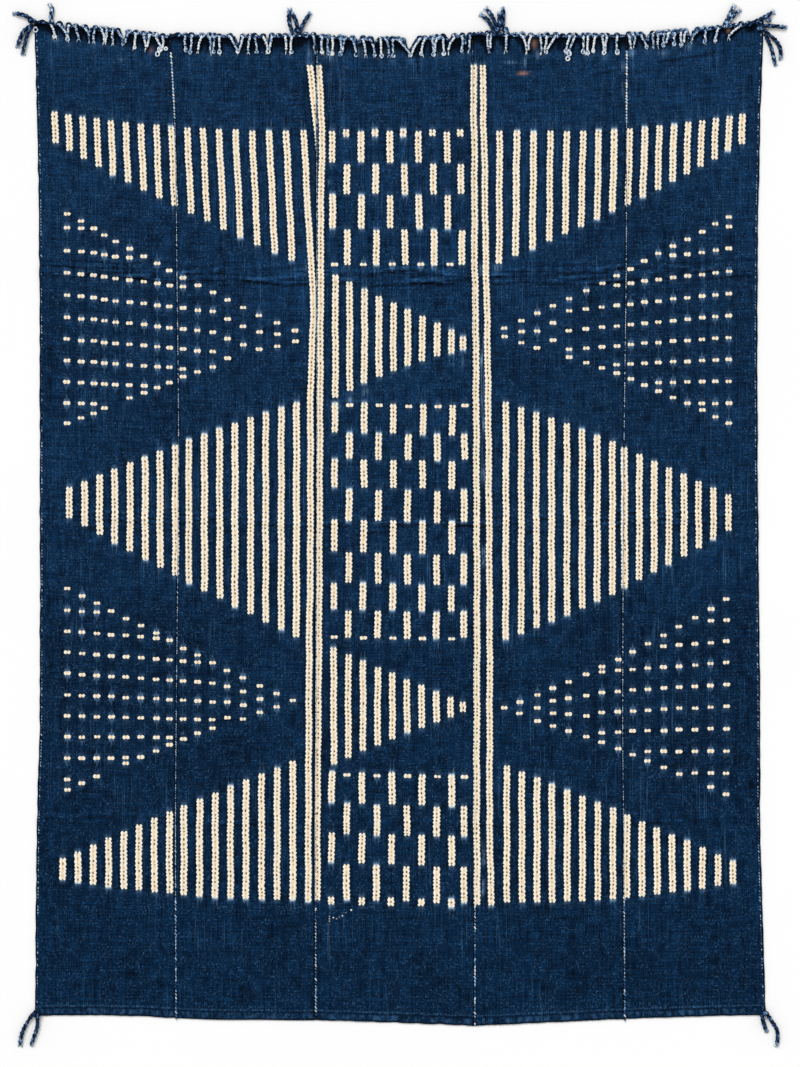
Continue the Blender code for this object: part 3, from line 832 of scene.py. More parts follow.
def indigoCloth():
    material = bpy.data.materials.new("indigo_resist_cotton")
    n = Nodes(material)
    weave = n.tree.nodes.new("ShaderNodeUVMap")
    weave.uv_map = "weave"
    uv = weave.outputs[0]
    place = n.tree.nodes.new("ShaderNodeTexCoord").outputs["Object"]
    y = n.times(n.part(place, 1), 1000.0)
    across, reach, along = (n.field(name) for name in ("across", "reach", "along"))
    kind, seed = n.field("kind"), n.field("seed")
    # "across" leaps where two marks meet, and there "reach" stands in for it
    a = n.calc("ABSOLUTE", across)
    leap = n.calc("GREATER_THAN", n.calc("SUBTRACT", reach, a), 1.35)
    a = n.plus(a, n.times(leap, n.calc("SUBTRACT", reach, a)))
    inReach = n.ramp(reach, 8.6, 7.6)
    grain = n.noise(place, scale=620.0, detail=2.0)
    roughGrain = n.calc("SUBTRACT", grain, 0.5)
    isDot = n.calc("GREATER_THAN", kind, 0.5)
    isStripe = n.calc("SUBTRACT", 1.0, isDot)

    # one stitch after another along a stripe, each a little off
    drift = n.noise(n.joined(n.times(seed, 90.0), n.times(y, 0.05)), detail=1.0)
    beat = n.plus(n.calc("DIVIDE", y, indigo["stitchPitch"]), n.times(seed, 17.0), n.times(drift, 1.6))
    stitch = n.calc("FLOOR", beat)
    within = n.calc("SUBTRACT", n.calc("FRACT", beat), 0.5)
    luck = n.chance(stitch, n.times(seed, 31.0))
    luck2 = n.chance(n.plus(stitch, 7.3), n.times(seed, 53.0))
    side = n.calc("GREATER_THAN", across, 0.0)
    sideways = n.plus(beat, n.times(side, n.plus(0.25, n.times(seed, 0.4))))
    swing = n.calc("COSINE", n.times(sideways, 2 * math.pi))
    width = n.plus(indigo["stripeHalf"], n.times(swing, 0.68), n.times(n.calc("SUBTRACT", seed, 0.5), 0.5),
                   n.times(roughGrain, 1.5))
    edge = n.ramp(n.calc("SUBTRACT", width, a), -0.25, 0.25)
    notch = n.times(n.calc("MAXIMUM", n.calc("SUBTRACT", 1.0, n.times(a, 0.5)), 0.0), 2.6)
    shoulder = n.calc("MAXIMUM", n.calc("SUBTRACT", a, 2.9), 0.0)
    corner = n.times(shoulder, shoulder, 0.5)
    ends = n.ramp(n.calc("SUBTRACT", along, n.plus(notch, corner)), -0.35, 0.45)
    stripeMask = n.times(edge, ends, inReach, isStripe)

    # dots and caps: two lobes side by side, with a waist between them
    bigger = n.calc("MAXIMUM", n.calc("SUBTRACT", kind, 1.0), 0.0)
    high = n.calc("MAXIMUM", n.calc("SUBTRACT", markHigh, along), 0.0)
    lobeX = n.calc("SUBTRACT", a, n.plus(2.42, n.times(bigger, 0.5)))
    outer = n.calc("MAXIMUM", lobeX, 0.0)
    inner = n.times(n.calc("MINIMUM", lobeX, 0.0), n.plus(0.86, n.times(bigger, -0.2)))
    lobe = n.calc("SQRT", n.plus(n.times(outer, outer), n.times(inner, inner), n.times(high, high)))
    lobeSize = n.plus(2.36, n.times(bigger, -0.1), n.times(roughGrain, 1.9), n.times(seed, 0.6),
                      n.times(side, n.calc("SUBTRACT", luck, 0.5), 0.6))
    dotMask = n.times(n.ramp(n.calc("SUBTRACT", lobeSize, lobe), -0.25, 0.25), inReach, isDot)
    mask = n.plus(stripeMask, dotMask)

    # the indigo ground: warp and weft threads that took the dye unevenly
    ground = n.mix(n.ramp(y, -760.0, 760.0), indigo["foot"], indigo["head"])
    outwards = n.ramp(n.calc("ABSOLUTE", n.times(n.part(place, 0), 1000.0)), 150.0, 330.0)
    for middle, near, far in indigo["deeper"]:
        belt = n.ramp(n.calc("ABSOLUTE", n.calc("SUBTRACT", y, middle)), far, near)
        ground = n.dim(ground, n.calc("SUBTRACT", 1.0, n.times(belt, outwards, 0.17)))
    cloud = n.noise(place, scale=7.0, detail=3.0)
    blot = n.noise(place, scale=60.0, detail=3.0)
    warp = n.noise(n.stretched(uv, 560.0, 22.0), detail=2.0)
    warpWide = n.noise(n.stretched(uv, 110.0, 4.0), detail=2.0)
    weft = n.noise(n.stretched(uv, 20.0, 540.0), detail=2.0)
    light = 0.86
    threads = ((cloud, 0.7), (blot, 0.8), (warp, 2.5), (warpWide, 0.9), (weft, 2.2), (grain, 3.0))
    for thread, strength in threads:
        light = n.plus(n.times(n.calc("SUBTRACT", thread, 0.5), strength), light)
    threadX = n.calc("SINE", n.times(n.part(uv, 0), 1000.0 * 2 * math.pi / 1.3))
    threadY = n.calc("SINE", n.times(n.part(uv, 1), 1000.0 * 2 * math.pi / 1.1))
    weaveHeight = n.calc("MAXIMUM", threadX, threadY)
    light = n.plus(light, n.times(n.plus(threadX, threadY), 0.05))
    ground = n.dim(ground, n.calc("MAXIMUM", light, 0.22))
    fleckAcross = n.noise(n.stretched(uv, 200.0, 700.0), detail=1.0)
    fleckUp = n.noise(n.stretched(uv, 700.0, 200.0), detail=1.0)
    fleck = n.plus(n.ramp(fleckAcross, 0.57, 0.78), n.ramp(fleckUp, 0.57, 0.78))
    ground = n.mix(n.times(fleck, n.ramp(blot, 0.3, 0.62), 0.55), ground, indigo["fadedAndLit"])
    streak = n.noise(n.stretched(uv, 420.0, 9.0), detail=2.0)
    streaks = n.times(n.ramp(streak, 0.58, 0.78), n.ramp(cloud, 0.40, 0.62), n.ramp(grain, 0.30, 0.55))
    ground = n.mix(n.times(streaks, 0.5), ground, indigo["fadedAndLit"])

    # dark beside a stripe, with pale dye bleed past its ends and faint pairs of lines down its column
    beside = n.times(n.ramp(reach, 9.8, 5.2), n.ramp(along, -3.0, 1.5), isStripe)
    ground = n.mix(n.times(beside, 0.72), ground, indigo["black"])
    lineNoise = n.noise(n.joined(n.times(across, 0.7), n.times(y, 0.12), n.times(seed, 40.0)), detail=2.0)
    upperEnd = n.calc("GREATER_THAN", n.noise(n.joined(n.times(y, 0.012), seed)), 0.5)
    endLuck = n.ramp(n.chance(seed, upperEnd), 0.0, 1.0)
    past = n.times(n.ramp(along, -6.5, -0.6), n.ramp(a, 6.4, 3.6), inReach)
    strong = n.ramp(endLuck, 0.55, 0.95)
    bleed = n.times(past, n.ramp(lineNoise, 0.25, 0.6), n.plus(0.2, n.times(strong, 0.8)), isStripe)
    pairLine = n.ramp(n.calc("ABSOLUTE", n.calc("SUBTRACT", a, 2.7)), 1.5, 0.4)
    pair = n.times(pairLine, n.ramp(along, -26.0, -4.0), n.ramp(lineNoise, 0.40, 0.72))
    pair = n.times(pair, endLuck, isStripe, inReach)
    dotPair = n.times(pairLine, n.ramp(along, -5.6, -1.0), strong, isDot, inReach)
    dotLine = n.times(n.ramp(a, 1.6, 0.3), n.ramp(along, -15.0, -3.0), strong, isDot)
    halo = n.times(n.ramp(along, -9.0, -0.5), n.ramp(a, 8.0, 2.0), n.ramp(blot, 0.35, 0.65), inReach)
    around = n.plus(n.times(bleed, 0.36), n.times(pair, 0.26), n.times(halo, 0.08))
    ground = n.mix(around, ground, indigo["pale"])
    ground = n.mix(n.plus(n.times(dotPair, 0.42), n.times(dotLine, 0.2)), ground, indigo["pale"])
    brightEnd = n.times(n.ramp(along, -2.4, -0.2), n.ramp(a, 5.0, 3.2), bleed, strong, 0.85)
    ground = n.mix(brightEnd, ground, indigo["glow"])

    # painted shade and light from the shade attribute: darker crease lines with paler rims on the folds, and
    # painted shadow beside and between the fringe cords
    shade = n.field("shade")
    ground = n.dim(ground, n.ramp(shade, 1.0, -1.0, 0.08, 1.92))
    # painted highlight in faded blue on the crease rims
    litCreaseRim = n.times(n.ramp(shade, -0.25, -1.0), n.ramp(grain, 0.35, 0.65), 0.45)
    ground = n.mix(litCreaseRim, ground, indigo["fadedAndLit"])
    haze = n.field("haze")
    ground = n.mix(n.times(haze, n.ramp(blot, 0.3, 0.7), 0.4), ground, indigo["fadedAndLit"])
    # pale worn patches; those on the upper fold are painted highlights
    wornAndLitPatches = n.times(n.field("worn"), n.ramp(n.plus(warp, n.times(roughGrain, 0.7)), 0.40, 0.64), 0.72)
    ground = n.mix(n.calc("MINIMUM", wornAndLitPatches, 0.8), ground, indigo["pale"])
    ground = n.mix(n.calc("MINIMUM", n.field("soiled"), 0.9), ground, indigo["brown"])
    brim, hem, crown = n.field("brim"), n.field("hem"), n.field("crown")
    # painted shade: darker within a few millimetres of each selvedge where the seams meet, and along the
    # head and foot edges
    ground = n.dim(ground, n.ramp(brim, 0.5, 3.2, 0.12, 1.0))
    ground = n.dim(ground, n.ramp(crown, 0.5, 6.0, 0.22, 1.0))
    ground = n.dim(ground, n.ramp(hem, 0.2, 2.6, 0.35, 1.0))
    hemPatch = n.times(n.ramp(hem, 2.0, 4.0), n.ramp(hem, 12.0, 8.0))
    hemNoise = n.noise(n.stretched(place, 150.0, 60.0), detail=3.0)
    hemLine = n.times(n.ramp(hem, 13.0, 14.2), n.ramp(hem, 16.6, 15.2), n.ramp(fleckUp, 0.40, 0.66))
    ground = n.dim(ground, n.ramp(n.calc("ABSOLUTE", n.calc("SUBTRACT", hem, 11.6)), 0.4, 2.0, 0.62, 1.0))
    worn = n.plus(n.times(hemPatch, n.ramp(hemNoise, 0.44, 0.72), 0.42), n.times(hemLine, 0.4))
    ground = n.mix(worn, ground, indigo["fadedAndLit"])

    # the undyed cotton of stripes and dots, drawn in at each stitch
    cotton = n.mix(n.ramp(a, 1.0, 4.2), indigo["cream"], indigo["white"])
    tanNoise = n.noise(n.joined(n.times(across, 0.5), n.times(y, 0.42), n.times(seed, 77.0)), detail=3.0)
    centre = n.ramp(a, 3.8, 0.3)
    cotton = n.mix(n.times(centre, n.ramp(tanNoise, 0.44, 0.60), 0.55), cotton, indigo["tan"])
    # painted shade: tan lines along the puckers between the stitches
    pucker = n.calc("COSINE", n.times(n.calc("SUBTRACT", sideways, n.times(a, 0.12)), 2 * math.pi))
    crease = n.times(n.ramp(pucker, 0.35, 1.0), n.ramp(a, 4.6, 0.8), 0.55)
    cotton = n.mix(crease, cotton, indigo["tan"])
    cotton = n.mix(n.times(n.ramp(grain, 0.42, 0.30), 0.6), cotton, indigo["tan"])
    holeX = n.plus(across, n.times(n.calc("SUBTRACT", luck, 0.5), 1.1))
    holeY = n.times(within, indigo["stitchPitch"])
    hole = n.calc("SQRT", n.plus(n.times(holeX, holeX), n.times(holeY, holeY, 0.6)))
    holeMask = n.times(n.ramp(hole, 1.7, 0.7), n.ramp(along, 1.5, 3.5), isStripe)
    holeColour = n.mix(n.ramp(luck2, 0.30, 0.55), indigo["tan"], indigo["hole"])
    holeColour = n.mix(n.ramp(luck, 0.55, 0.85), holeColour, indigo["black"])
    cotton = n.mix(n.times(holeMask, n.ramp(luck2, 0.1, 0.35)), cotton, holeColour)
    dotCentre = n.times(isDot, n.ramp(a, 1.9, 0.2), n.ramp(high, markHigh, 0.6))
    cotton = n.mix(n.times(dotCentre, n.ramp(luck, 0.2, 0.8), 0.6), cotton, indigo["tan"])
    tip = n.times(n.ramp(along, 4.5, 1.0), isStripe)
    cotton = n.mix(n.times(tip, 0.55), cotton, indigo["white"])

    n.put(n.mix(mask, ground, cotton), n.shader.inputs["Base Color"])
    rough = n.plus(0.88, n.times(n.calc("SUBTRACT", blot, 0.5), 0.16), n.times(mask, 0.05))
    n.put(rough, n.shader.inputs["Roughness"])
    n.shader.inputs["Specular IOR Level"].default_value = 0.06

    stripeRelief = n.plus(
        n.ramp(a, 5.4, 3.2),
        n.times(centre, -0.9),
        n.times(swing, n.ramp(a, 5.4, 2.5), 0.4),
        n.times(holeMask, -1.4),
    )
    relief = n.plus(
        n.times(weaveHeight, 0.16),
        n.times(grain, 0.8),
        n.times(warp, 0.4),
        n.times(weft, 0.4),
        n.times(stripeRelief, mask, 1.1),
    )
    n.put(n.bump(relief, 0.6, 0.0008), n.shader.inputs["Normal"])
    return material


# cords and thread, from fully dyed to undyed
cordTones = {
    "dark": tone(7, 20, 42),
    "mid": tone(38, 76, 122),
    "pale": tone(156, 188, 220),
    "white": tone(246, 246, 242),
}


def cordCotton(name, contrast):
    # twisted cotton: "bleach" says how little dye a cord took
    material = bpy.data.materials.new(name)
    n = Nodes(material)
    place = n.tree.nodes.new("ShaderNodeTexCoord").outputs["Object"]
    bleach = n.field("bleach")
    patch = n.noise(place, scale=240.0, detail=2.0)
    fibre = n.noise(place, scale=900.0, detail=2.0)
    level = n.plus(bleach, n.times(n.calc("SUBTRACT", patch, 0.5), contrast),
                   n.times(n.calc("SUBTRACT", fibre, 0.5), 0.4))
    colour = n.mix(n.ramp(level, 0.10, 0.38), cordTones["dark"], cordTones["mid"])
    colour = n.mix(n.ramp(level, 0.36, 0.62), colour, cordTones["pale"])
    colour = n.mix(n.ramp(level, 0.66, 0.95), colour, cordTones["white"])
    colour = n.dim(colour, n.plus(0.95, n.times(n.calc("SUBTRACT", fibre, 0.5), 0.6)))
    n.put(colour, n.shader.inputs["Base Color"])
    n.put(n.plus(0.8, n.times(fibre, 0.15)), n.shader.inputs["Roughness"])
    n.shader.inputs["Specular IOR Level"].default_value = 0.1
    n.put(n.bump(fibre, 0.5, 0.0005), n.shader.inputs["Normal"])
    return material


clothMaterial = indigoCloth()
fringeMaterial = cordCotton("twisted_fringe_cotton", 1.9)
threadMaterial = cordCotton("sewing_thread_cotton", 0.35)
tasselMaterial = cordCotton("tassel_cotton", 1.1)
print("materials made")

stripPieces = [buildStrip(number, clothMaterial) for number in range(1, 6)]
print("strips woven:", sum(len(piece.data.polygons) for piece in stripPieces), "faces")


# cords, as closed tubes gathered into one mesh

class Tubes:
    # "rim" is painted shade: how much darker the sides of a cord are coloured than its top
    def __init__(self, rim):
        self.points, self.faces, self.bleach = [], [], []
        self.rim = rim

    def ring(self, rings, bleach, closed=False):
        # rings: array of rings x sides x 3, in millimetres
        start = sum(len(p) for p in self.points)
        count, sides = rings.shape[:2]
        self.points.append(rings.reshape(-1, 3))
        self.bleach.append(np.broadcast_to(bleach, (count, sides)).ravel())
        rows = count if closed else count - 1
        for i in range(rows):
            low, high = start + i * sides, start + (i + 1) % count * sides
            for j in range(sides):
                k = (j + 1) % sides
                self.faces.append((low + j, low + k, high + k, high + j))
        if not closed:
            self.faces.append(tuple(start + j for j in reversed(range(sides))))
            self.faces.append(tuple(start + (count - 1) * sides + j for j in range(sides)))

    def tube(self, path, radius, sides, bleach):
        path = np.asarray(path, float)
        radius = np.broadcast_to(np.asarray(radius, float), len(path))
        forward = np.gradient(path, axis=0)
        forward /= np.linalg.norm(forward, axis=1)[:, None]
        side = np.cross(forward, (0.0, 0.0, 1.0))
        side /= np.maximum(np.linalg.norm(side, axis=1), 1e-6)[:, None]
        up = np.cross(side, forward)
        turns = np.arange(sides) / sides * 2 * math.pi
        outwards = np.cos(turns)[None, :, None] * side[:, None] + np.sin(turns)[None, :, None] * up[:, None]
        rings = path[:, None] + radius[:, None, None] * outwards
        # painted shade: each ring is paler on top and darker at its sides and below
        self.ring(rings, np.broadcast_to(bleach, len(path))[:, None] + self.rim * (np.sin(turns) - 0.35))

    def twisted(self, path, ply, pitch, sides, bleach, start=0.0, differ=0.0):
        # two plies wound round each other, one paler than the other
        path = np.asarray(path, float)
        ply = np.broadcast_to(np.asarray(ply, float), len(path))
        steps = np.linalg.norm(np.diff(path, axis=0), axis=1)
        length = np.concatenate([[0.0], np.cumsum(steps)])
        forward = np.gradient(path, axis=0)
        forward /= np.linalg.norm(forward, axis=1)[:, None]
        side = np.cross(forward, (0.0, 0.0, 1.0))
        side /= np.maximum(np.linalg.norm(side, axis=1), 1e-6)[:, None]
        up = np.cross(side, forward)
        for k in range(2):
            turn = start + k * math.pi + length / pitch * 2 * math.pi
            away = np.cos(turn)[:, None] * side + np.sin(turn)[:, None] * up * 0.8
            centre = path + away * ply[:, None] * 0.85
            self.tube(centre, ply, sides, bleach + (differ if k else -differ))

    def loop(self, centre, radius, thick, around, sides, bleach, tall=1.0):
        turns = np.arange(around) / around * 2 * math.pi
        small = np.arange(sides) / sides * 2 * math.pi
        rings = np.empty((around, sides, 3))
        out = radius + thick * np.cos(small)[None, :]
        rings[:, :, 0] = centre[0] + out * np.cos(turns)[:, None]
        rings[:, :, 1] = centre[1] + tall * out * np.sin(turns)[:, None]
        rings[:, :, 2] = centre[2] - thick * np.sin(small)[None, :]
        # painted shade: each ring is paler on top and darker at its sides and below
        self.ring(rings, bleach + self.rim * (-np.sin(small) - 0.35), closed=True)

    def toObject(self, name, material):
        points = np.concatenate(self.points) * mm
        mesh = bpy.data.meshes.new(name)
        mesh.from_pydata(points.tolist(), [], self.faces)
        attribute = mesh.attributes.new("bleach", "FLOAT", "POINT")
        attribute.data.foreach_set("value", np.concatenate(self.bleach).astype(np.float32))
        bm = bmesh.new()
        bm.from_mesh(mesh)
        bmesh.ops.recalc_face_normals(bm, faces=bm.faces)
        bm.to_mesh(mesh)
        bm.free()
        mesh.shade_smooth()
        mesh.materials.append(material)
        obj = bpy.data.objects.new(name, mesh)
        bpy.context.scene.collection.objects.link(obj)
        return obj


def curved(points, count):
    # a smooth path through a few points
    points = np.asarray(points, float)
    t = np.linspace(0, len(points) - 1, count)
    k = np.clip(t.astype(int), 0, len(points) - 2)
    f = (t - k)[:, None]
    p0, p1 = points[np.maximum(k - 1, 0)], points[k]
    p2, p3 = points[k + 1], points[np.minimum(k + 2, len(points) - 1)]
    return 0.5 * (2 * p1 + (p2 - p0) * f + (2 * p0 - 5 * p1 + 4 * p2 - p3) * f**2
                  + (3 * p1 - p0 - 3 * p2 + p3) * f**3)


# longer strands lie on the floor and fray at the tip: each is a few places from its root to its tip
looseStrands = {
    1: (((-521.9, 750.0), (-523.4, 764.3), (-521.1, 771.5), (-524.0, 778.0)),),
    5: (((483.8, 745.0), (492.3, 761.1), (500.0, 777.0)), ((486.0, 745.0), (496.0, 759.0), (508.0, 771.5))),
}
# loops that hang below the knots: place and size
hangingLoops = {
    1: ((-546.5, 742.5, 3.2), (-360.0, 713.0, 3.0), (-363.5, 706.0, 2.8), (-351.0, 714.0, 2.2)),
    4: ((253.5, 707.0, 3.0), (251.5, 699.0, 2.8)),
}
tassels = {
    "tassel_head_left": {"knots": ((-554.0, 757.0),), "strands": (
        ((-544.8, 752.7), (-553.5, 758.4), (-563.4, 764.3), (-577.0, 767.1)),
        ((-550.5, 749.9), (-563.4, 741.3), (-569.3, 729.8), (-573.5, 718.4)),
        ((-551.0, 750.2), (-557.7, 737.0), (-562.1, 722.6), (-565.7, 707.5)))},
    "tassel_seam_2": {"knots": ((-154.0, 742.0),), "strands": (
        ((-161.3, 738.0), (-166.4, 755.4), (-165.8, 771.5)),
        ((-152.0, 738.0), (-156.3, 755.6), (-161.5, 767.1)),
        ((-150.5, 738.0), (-144.4, 752.4), (-136.2, 765.6)))},
    "tassel_seam_3": {"knots": ((145.0, 743.0), (158.0, 742.5)), "strands": (
        ((140.0, 742.0), (131.6, 757.1), (122.3, 764.3)),
        ((145.6, 742.0), (138.8, 761.4), (130.2, 772.8)),
        ((148.8, 742.0), (148.8, 754.2), (148.8, 766.0)),
        ((153.5, 742.0), (154.5, 760.0), (154.5, 772.8)))},
    "tassel_head_right": {"knots": ((538.8, 743.5), (552.5, 757.5)), "strands": (
        ((521.7, 749.4), (544.1, 760.2), (558.5, 768.5)),
        ((535.4, 747.8), (556.1, 748.2), (576.8, 746.4)),
        ((545.5, 742.1), (563.0, 726.6), (569.9, 714.6), (570.8, 700.8)),
        ((547.0, 735.5), (556.1, 716.3), (562.1, 691.4)))},
    "tassel_foot_left": {"knots": ((-546.0, -734.0),), "strands": (
        ((-545.1, -729.0), (-553.8, -737.7), (-563.9, -755.0), (-568.1, -767.9), (-569.6, -779.5)),
        ((-540.1, -729.7), (-543.0, -738.2), (-543.8, -752.6), (-548.0, -765.5), (-553.0, -779.5)))},
    "tassel_foot_right": {"knots": ((547.0, -732.0),), "strands": (
        ((542.9, -728.2), (543.2, -738.0), (545.5, -748.0), (549.0, -757.5)),
        ((548.3, -729.2), (555.8, -741.6), (564.6, -755.4), (566.1, -768.6), (564.6, -779.5)))},
}
# the strands' rim is painted shade on their sides
strand = {"ply": 2.0, "pitch": 13.0, "frays": 12, "frayLong": 6.8, "rim": 0.42}


def loopAt(tubes, x, y, size, bleach, draw):
    # a cord's turn over the edge: a dark round loop with a paler fleck
    face = cloth["thick"]
    tall = draw.uniform(0.72, 1.0)
    tubes.loop((x, y - 0.6, face + 2.2), size - 1.7, 1.7, 12, 6, bleach, tall)
    if draw.random() < 0.6:
        turn = draw.uniform(0, 2 * math.pi)
        out = 0.6 * (size - 1.5)
        fleck = (x + out * math.cos(turn), y - 0.6 + out * math.sin(turn), face + 3.4)
        tubes.loop(fleck, 0.7, 0.8, 7, 5, draw.uniform(0.3, 0.8))


def buildFringe(number, material):
    tubes = Tubes(fringe["rim"])
    face = cloth["thick"]
    leftX = float(lineAt(lineOrder[number - 1], headLine)) + 1.2
    rightX = float(lineAt(lineOrder[number], headLine)) - 1.2
    acrossX = np.arange(leftX, rightX, 1.6)
    edge = headEdge(number, acrossX)
    draw = random.Random(200 + number)
    rim = np.stack([acrossX, edge - 0.6, np.full(len(acrossX), fringe["rimHigh"])], axis=-1)
    tubes.twisted(rim, fringe["edgeRadius"], 6.5, 6, -0.16, 0.0)
    heads = [place[0] for place in cordPlaces[number - 1]]
    stops = [leftX] + heads + [rightX]
    for before, after in zip(stops[:-1], stops[1:]):
        extra = int((after - before) // fringe["loopPitch"]) - 1
        for k in range(extra):       # loops whose cords stay under the edge
            x = before + (after - before) * (k + 1) / (extra + 1) + draw.uniform(-0.8, 0.8)
            y = float(headEdge(number, np.array([x]))[0])
            top = float(spread(strips[number - 1]["head"], stripShare(number, x)))
            if top - y < 5.0:
                size = fringe["headRadius"] * draw.uniform(0.85, 1.1)
                loopAt(tubes, x, y, size, draw.uniform(-0.3, 0.0), draw)
    knots = []
    for guide in cordGuides(number):
        (x1, y1), (x2, y2) = guide["head"], guide["foot"]
        bleach = draw.choice((0.22, 0.30, 0.36, 0.42, 0.48, 0.56))
        bow = draw.uniform(-1.4, 1.4)
        path = curved((
            (x1, y1 + 2.0, face + 0.6),
            (x1 + (x2 - x1) * 0.12, y1 - 2.5, face + 3.0),
            (x1 + (x2 - x1) * 0.55 + bow, (y1 + y2) / 2, face + 2.5),
            (x2, y2, face + 1.8),
        ), 15)
        start = draw.uniform(0, 2 * math.pi)
        tubes.twisted(path, fringe["plyRadius"], fringe["pitch"], 6, bleach, start, 0.1)
        size = fringe["headRadius"] * draw.uniform(0.95, 1.15)
        loopAt(tubes, x1, y1 + 1.4, size, draw.uniform(-0.2, 0.1), draw)
        if any(math.hypot(x - x2, y - y2) < 4.2 for x, y in knots):
            continue
        knots.append((x2, y2))
        if draw.random() < 0.66:
            knot = (x2 + draw.uniform(-0.7, 0.7), y2 - 2.0, face + 1.5)
            size = fringe["knotRadius"] * draw.uniform(0.8, 1.15)
            tubes.loop(knot, size, 1.15, 10, 6, bleach + draw.uniform(-0.1, 0.12), draw.uniform(0.8, 1.3))
        for _ in range(2):
            lean = draw.uniform(-2.4, 2.4)
            tail = curved(((x2, y2 - 1.0, face + 1.3), (x2 + lean, y2 - 3.5, face + 1.0),
                           (x2 + lean * 1.3, y2 - draw.uniform(5, 8), face + 0.8)), 5)
            tubes.tube(tail, (0.9, 0.9, 0.8, 0.6, 0.3), 6, bleach)
    for x, y, size in hangingLoops.get(number, ()):
        tubes.loop((x, y, face + 1.6), size, 1.3, 10, 6, draw.uniform(0.25, 0.6), draw.uniform(1.0, 1.3))
    for points in looseStrands.get(number, ()):
        addStrand(tubes, points, draw)
    return tubes.toObject(f"fringe_{number}", material)


def supportAt(x, y):
    # the height of what lies under a place: the cloth or the floor
    name = "left" if x < 0 else "right"
    beside = abs(float(lineAt(name, np.clip(y, -740.0, 750.0)))) + 3.0
    side = next(k for k in range(5) if x < float(lineAt(lineOrder[k + 1], 0.0)) or k == 4)
    head = float(spread(strips[side]["head"], stripShare(side + 1, x)))
    foot = min(strips[side]["foot"][:2])
    return 2.4 if abs(x) < beside and foot - 3.0 < y < head + 1.0 else 0.0


def addStrand(tubes, points, draw):
    low = strand["ply"] * 1.75
    path = curved([(x, y, low + supportAt(x, y)) for x, y in points], 17)
    ply = np.full(len(path), strand["ply"])
    ply[-2:] = (strand["ply"] * 0.9, strand["ply"] * 0.6)
    bleach = np.linspace(-0.03, 0.08, len(path))
    bleach[-2:] += 0.1
    tubes.twisted(path, ply, strand["pitch"], 7, bleach, draw.uniform(0, 6.28), 0.1)
    tip, heading = path[-2], path[-1] - path[-4]
    angle = math.atan2(heading[1], heading[0])
    rest = 0.9 + 0.5 * supportAt(tip[0], tip[1])
    for _ in range(strand["frays"]):
        turn = angle + draw.uniform(-0.8, 0.8)
        long = strand["frayLong"] * draw.uniform(0.55, 1.0)
        bend = turn + draw.uniform(-0.3, 0.3)
        z = tip[2] * draw.uniform(0.5, 1.1)
        fray = curved((
            (tip[0], tip[1], z),
            (tip[0] + long * 0.5 * math.cos(turn), tip[1] + long * 0.5 * math.sin(turn), z * 0.8),
            (tip[0] + long * math.cos(bend), tip[1] + long * math.sin(bend), rest),
        ), 4)
        tubes.tube(fray, (1.0, 0.8, 0.6, 0.3), 5, draw.uniform(0.25, 0.65))


def buildTassel(name, tassel, seed, material):
    tubes = Tubes(strand["rim"])
    draw = random.Random(seed)
    for x, y in tassel["knots"]:       # a knot is a few turns of cord on top of each other
        base = supportAt(x, y) + 1.6
        for k in range(3):
            spot = (x + draw.uniform(-0.8, 0.8), y + draw.uniform(-0.8, 0.8), base + 1.5 * k)
            tubes.loop(spot, 3.2 - 0.6 * k, 1.6, 12, 7, draw.uniform(-0.1, 0.3), draw.uniform(0.8, 1.1))
    for points in tassel["strands"]:
        addStrand(tubes, points, draw)
    return tubes.toObject(name.replace("tassel", "cord_tassel"), material)


fringePieces = [buildFringe(number, fringeMaterial) for number in range(1, 6)]
tasselPieces = {}
for k, (name, tassel) in enumerate(tassels.items()):
    tasselPieces[name] = buildTassel(name, tassel, 300 + k, tasselMaterial)
print("fringe and tassels made")


# sewing: Geometry Nodes lay short stitches along a line

